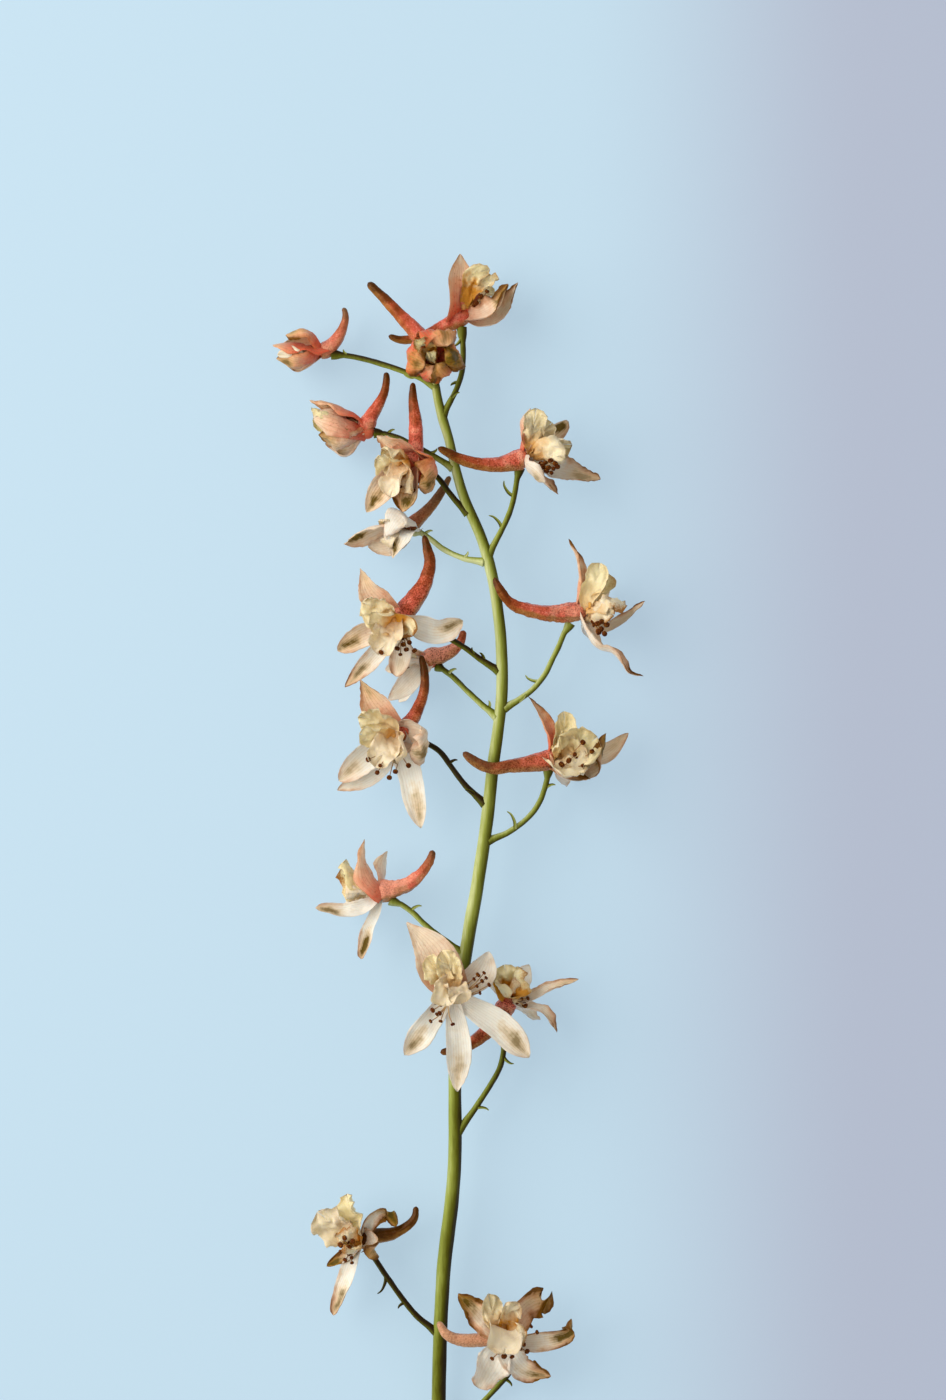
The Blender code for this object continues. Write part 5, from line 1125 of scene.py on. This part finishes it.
# Flower 17
# Bottom right, facing the viewer, cream and tan, with a tan-pink spur to the left in front of the stem
# and brown tips. Its stalk joins the stem near the cut end.
flower(
    17, throat=(503, 1335, 13), facing=(0.25, 0, 0.95),
    spur=[(497, 1338, 0, 2.6), (488, 1340, 0.3, 2.3), (475, 1341, 1.2, 2), (458, 1340, 2.2, 1.8),
          (446, 1334, 2.4, 1.5), (438, 1322, 2.2, 0.9)],
    sepals=[
        sepal("upper left", 9.5, [(490, 1328, 0.8), (477, 1313, 1.4), (458, 1295, 1.4)], (0.35, 1, 1.4),
              cup=0.8, peak=0.4, ripple=0.5, crumple=1),
        sepal("upper right", 10, [(514, 1326, 0.4), (524, 1309, 1.5), (541, 1301, 1), (545, 1316, 0)],
              (0.5, 0.7, 1.4), cup=0.8, tip=0.45, ripple=0.5, crumple=1),
        sepal("right", 7.5, [(521, 1343, 0.8), (550, 1341, 1.6), (570, 1334, 2), (572, 1319, 2.6)],
              (0.15, 1.2, 1.2), cup=1.2, tip=0.6, ripple=0.5),
        sepal("lower left", 11, [(498, 1351, 0.6), (489, 1369, 0.8), (479, 1390, -0.4)], (0.05, 0.2, 0.6),
              tip=0.4, ripple=0.4, crumple=0.8),
        sepal("lower right", 9, [(509, 1355, 0.4), (525, 1373, 0.4), (551, 1377, 1.4)], (0.05, 1, 1.1),
              cup=0.8, peak=0.4, tip=0.6, ripple=0.4, crumple=0.8),
    ],
    petals=[
        petal("upper", 6, [(498, 1323, 4.4), (492, 1311, 6), (489, 1292, 6)], (0.4, 0.8, 0.3), crumple=2.4,
              notch=0.3),
        petal("upper", 5.4, [(506, 1322, 4.6), (509, 1309, 7), (519, 1300, 7.4)], (0.2, 1.4, 0.8),
              crumple=2.2, notch=0.3),
        petal("lower", 9, [(502, 1327, 7), (504, 1336, 9.6), (505, 1351, 9.2)], (0.1, 0, 0.3), cup=0.3,
              crumple=0.6, toward=(0.1, 0.2, 1)),
        petal("lower", 6.5, [(510, 1331, 5.2), (517, 1334, 7.2), (526, 1337, 7.4)], (0.3, 1.3, 1.4),
              crumple=1.6),
    ],
    stamens=[(531, 1325, 5.4), (537, 1331, 5.2), (524, 1343, 6.2), (527, 1350, 5.6), (512, 1355, 6.4),
             (492, 1357, 6), (519, 1346, 7), (498, 1350, 7), (504, 1354, 7), (508, 1349, 7.4)],
    stalk=[(505, 1342, 10.6), (508, 1352, 8), (512, 1364, 6.2), (510, 1378, 4.9), (499, 1392, 4),
           (482, 1410, 3.9), (460, 1432, 4.3), (438, 1454, 3.9)],
    bracts=[((505, 1386), (512, 1392))],
    stalk_tone=(0.7, 0.6), spur_tone=(-0.2, 0.85, 0.5), core_pink=0.5)
# The stem and its stalks are one grown body, so they are joined and stand for the stem's solid.
plant_piece("stem_with_stalks", "stem", green_shapes, (stem_green,))

# The surface, the light and the camera
# A pale surface that glows faintly, as painted light, and greys to the right as a painted falloff. A
# broad soft light stands at the left, as in the photograph, a weaker one at the right, and the camera
# looks straight down from the height that gives the photograph's view.
floor_shape = bmesh.new()
bmesh.ops.create_grid(floor_shape, x_segments=1, y_segments=1, size=2)
floor_mesh = bpy.data.meshes.new("pale_surface")
floor_shape.to_mesh(floor_mesh)
floor_shape.free()
floor = bpy.data.objects.new("pale_surface", floor_mesh)
bpy.context.scene.collection.objects.link(floor)

# Matt card with no shine: pale blue at the left and a little greyer at the right, a painted falloff of
# the light from the left. Its colour is dimmed and given back as a glow, painted light that lifts the
# shadows cast on it and lights the flowers faintly from below.
glowing_card, tree, surface = finish_of("glowing pale card with painted falloff")
painted_light_falloff = add(tree, "SeparateXYZ", [add(tree, "TexCoord", out="Object")])
# Painted falloff: the card greys from left to right, like light falling off from the lamp at the left.
painted_light_falloff = add(tree, "MapRange", [painted_light_falloff, 30 * MM, 130 * MM, 0, 1], interpolation_type="SMOOTHSTEP")
shade = add(tree, "Mix", {0: painted_light_falloff, 6: linear("#BAD5E9"), 7: linear("#ADB7CD")}, out=2, data_type="RGBA")
dimmed_for_glow = add(tree, "Mix", {0: 0.57, 6: shade, 7: linear("#000000")}, out=2, data_type="RGBA")
# The card glows with its own colour, painted light that lifts the shadows cast on it.
feed(tree, surface, {"Base Color": dimmed_for_glow, "Roughness": 0.9,
                     "Emission Color": shade, "Emission Strength": 0.66})
floor_mesh.materials.append(glowing_card)

MIDDLE = place(*PHOTO_MIDDLE, 16)
for name, offset, size, power, colour in (
        ("soft light from the left", (-0.95, 0.3, 0.75), 1.5, 19, (1, 0.95, 0.83)),
        ("weak light from the right", (1, -0.25, 0.8), 0.9, 0.5, (0.92, 0.96, 1))):
    lamp = bpy.data.lights.new(name, "AREA")
    lamp.shape, lamp.size, lamp.energy, lamp.color = "DISK", size, power, colour
    holder = bpy.data.objects.new(name, lamp)
    holder.location = MIDDLE + Vector(offset)
    holder.rotation_euler = (-Vector(offset)).to_track_quat("-Z", "Y").to_euler()
    bpy.context.scene.collection.objects.link(holder)
world = bpy.data.worlds.new("soft room light")
world.use_nodes = True
feed(world.node_tree, world.node_tree.nodes["Background"], [(1, 0.94, 0.82, 1), 0.5])
bpy.context.scene.world = world

CAMERA_HEIGHT = 1.2
FRAME_HEIGHT = 1400 * PIXEL                     # what the photograph's long side spans at the flowers
SENSOR = 36
camera = bpy.data.cameras.new("view from above")
camera.sensor_width = SENSOR
camera.lens = SENSOR * CAMERA_HEIGHT / FRAME_HEIGHT
eye = bpy.data.objects.new("view from above", camera)
eye.location = MIDDLE + UP * CAMERA_HEIGHT
bpy.context.scene.collection.objects.link(eye)
bpy.context.scene.camera = eye
bpy.context.scene.view_settings.view_transform = "Standard"
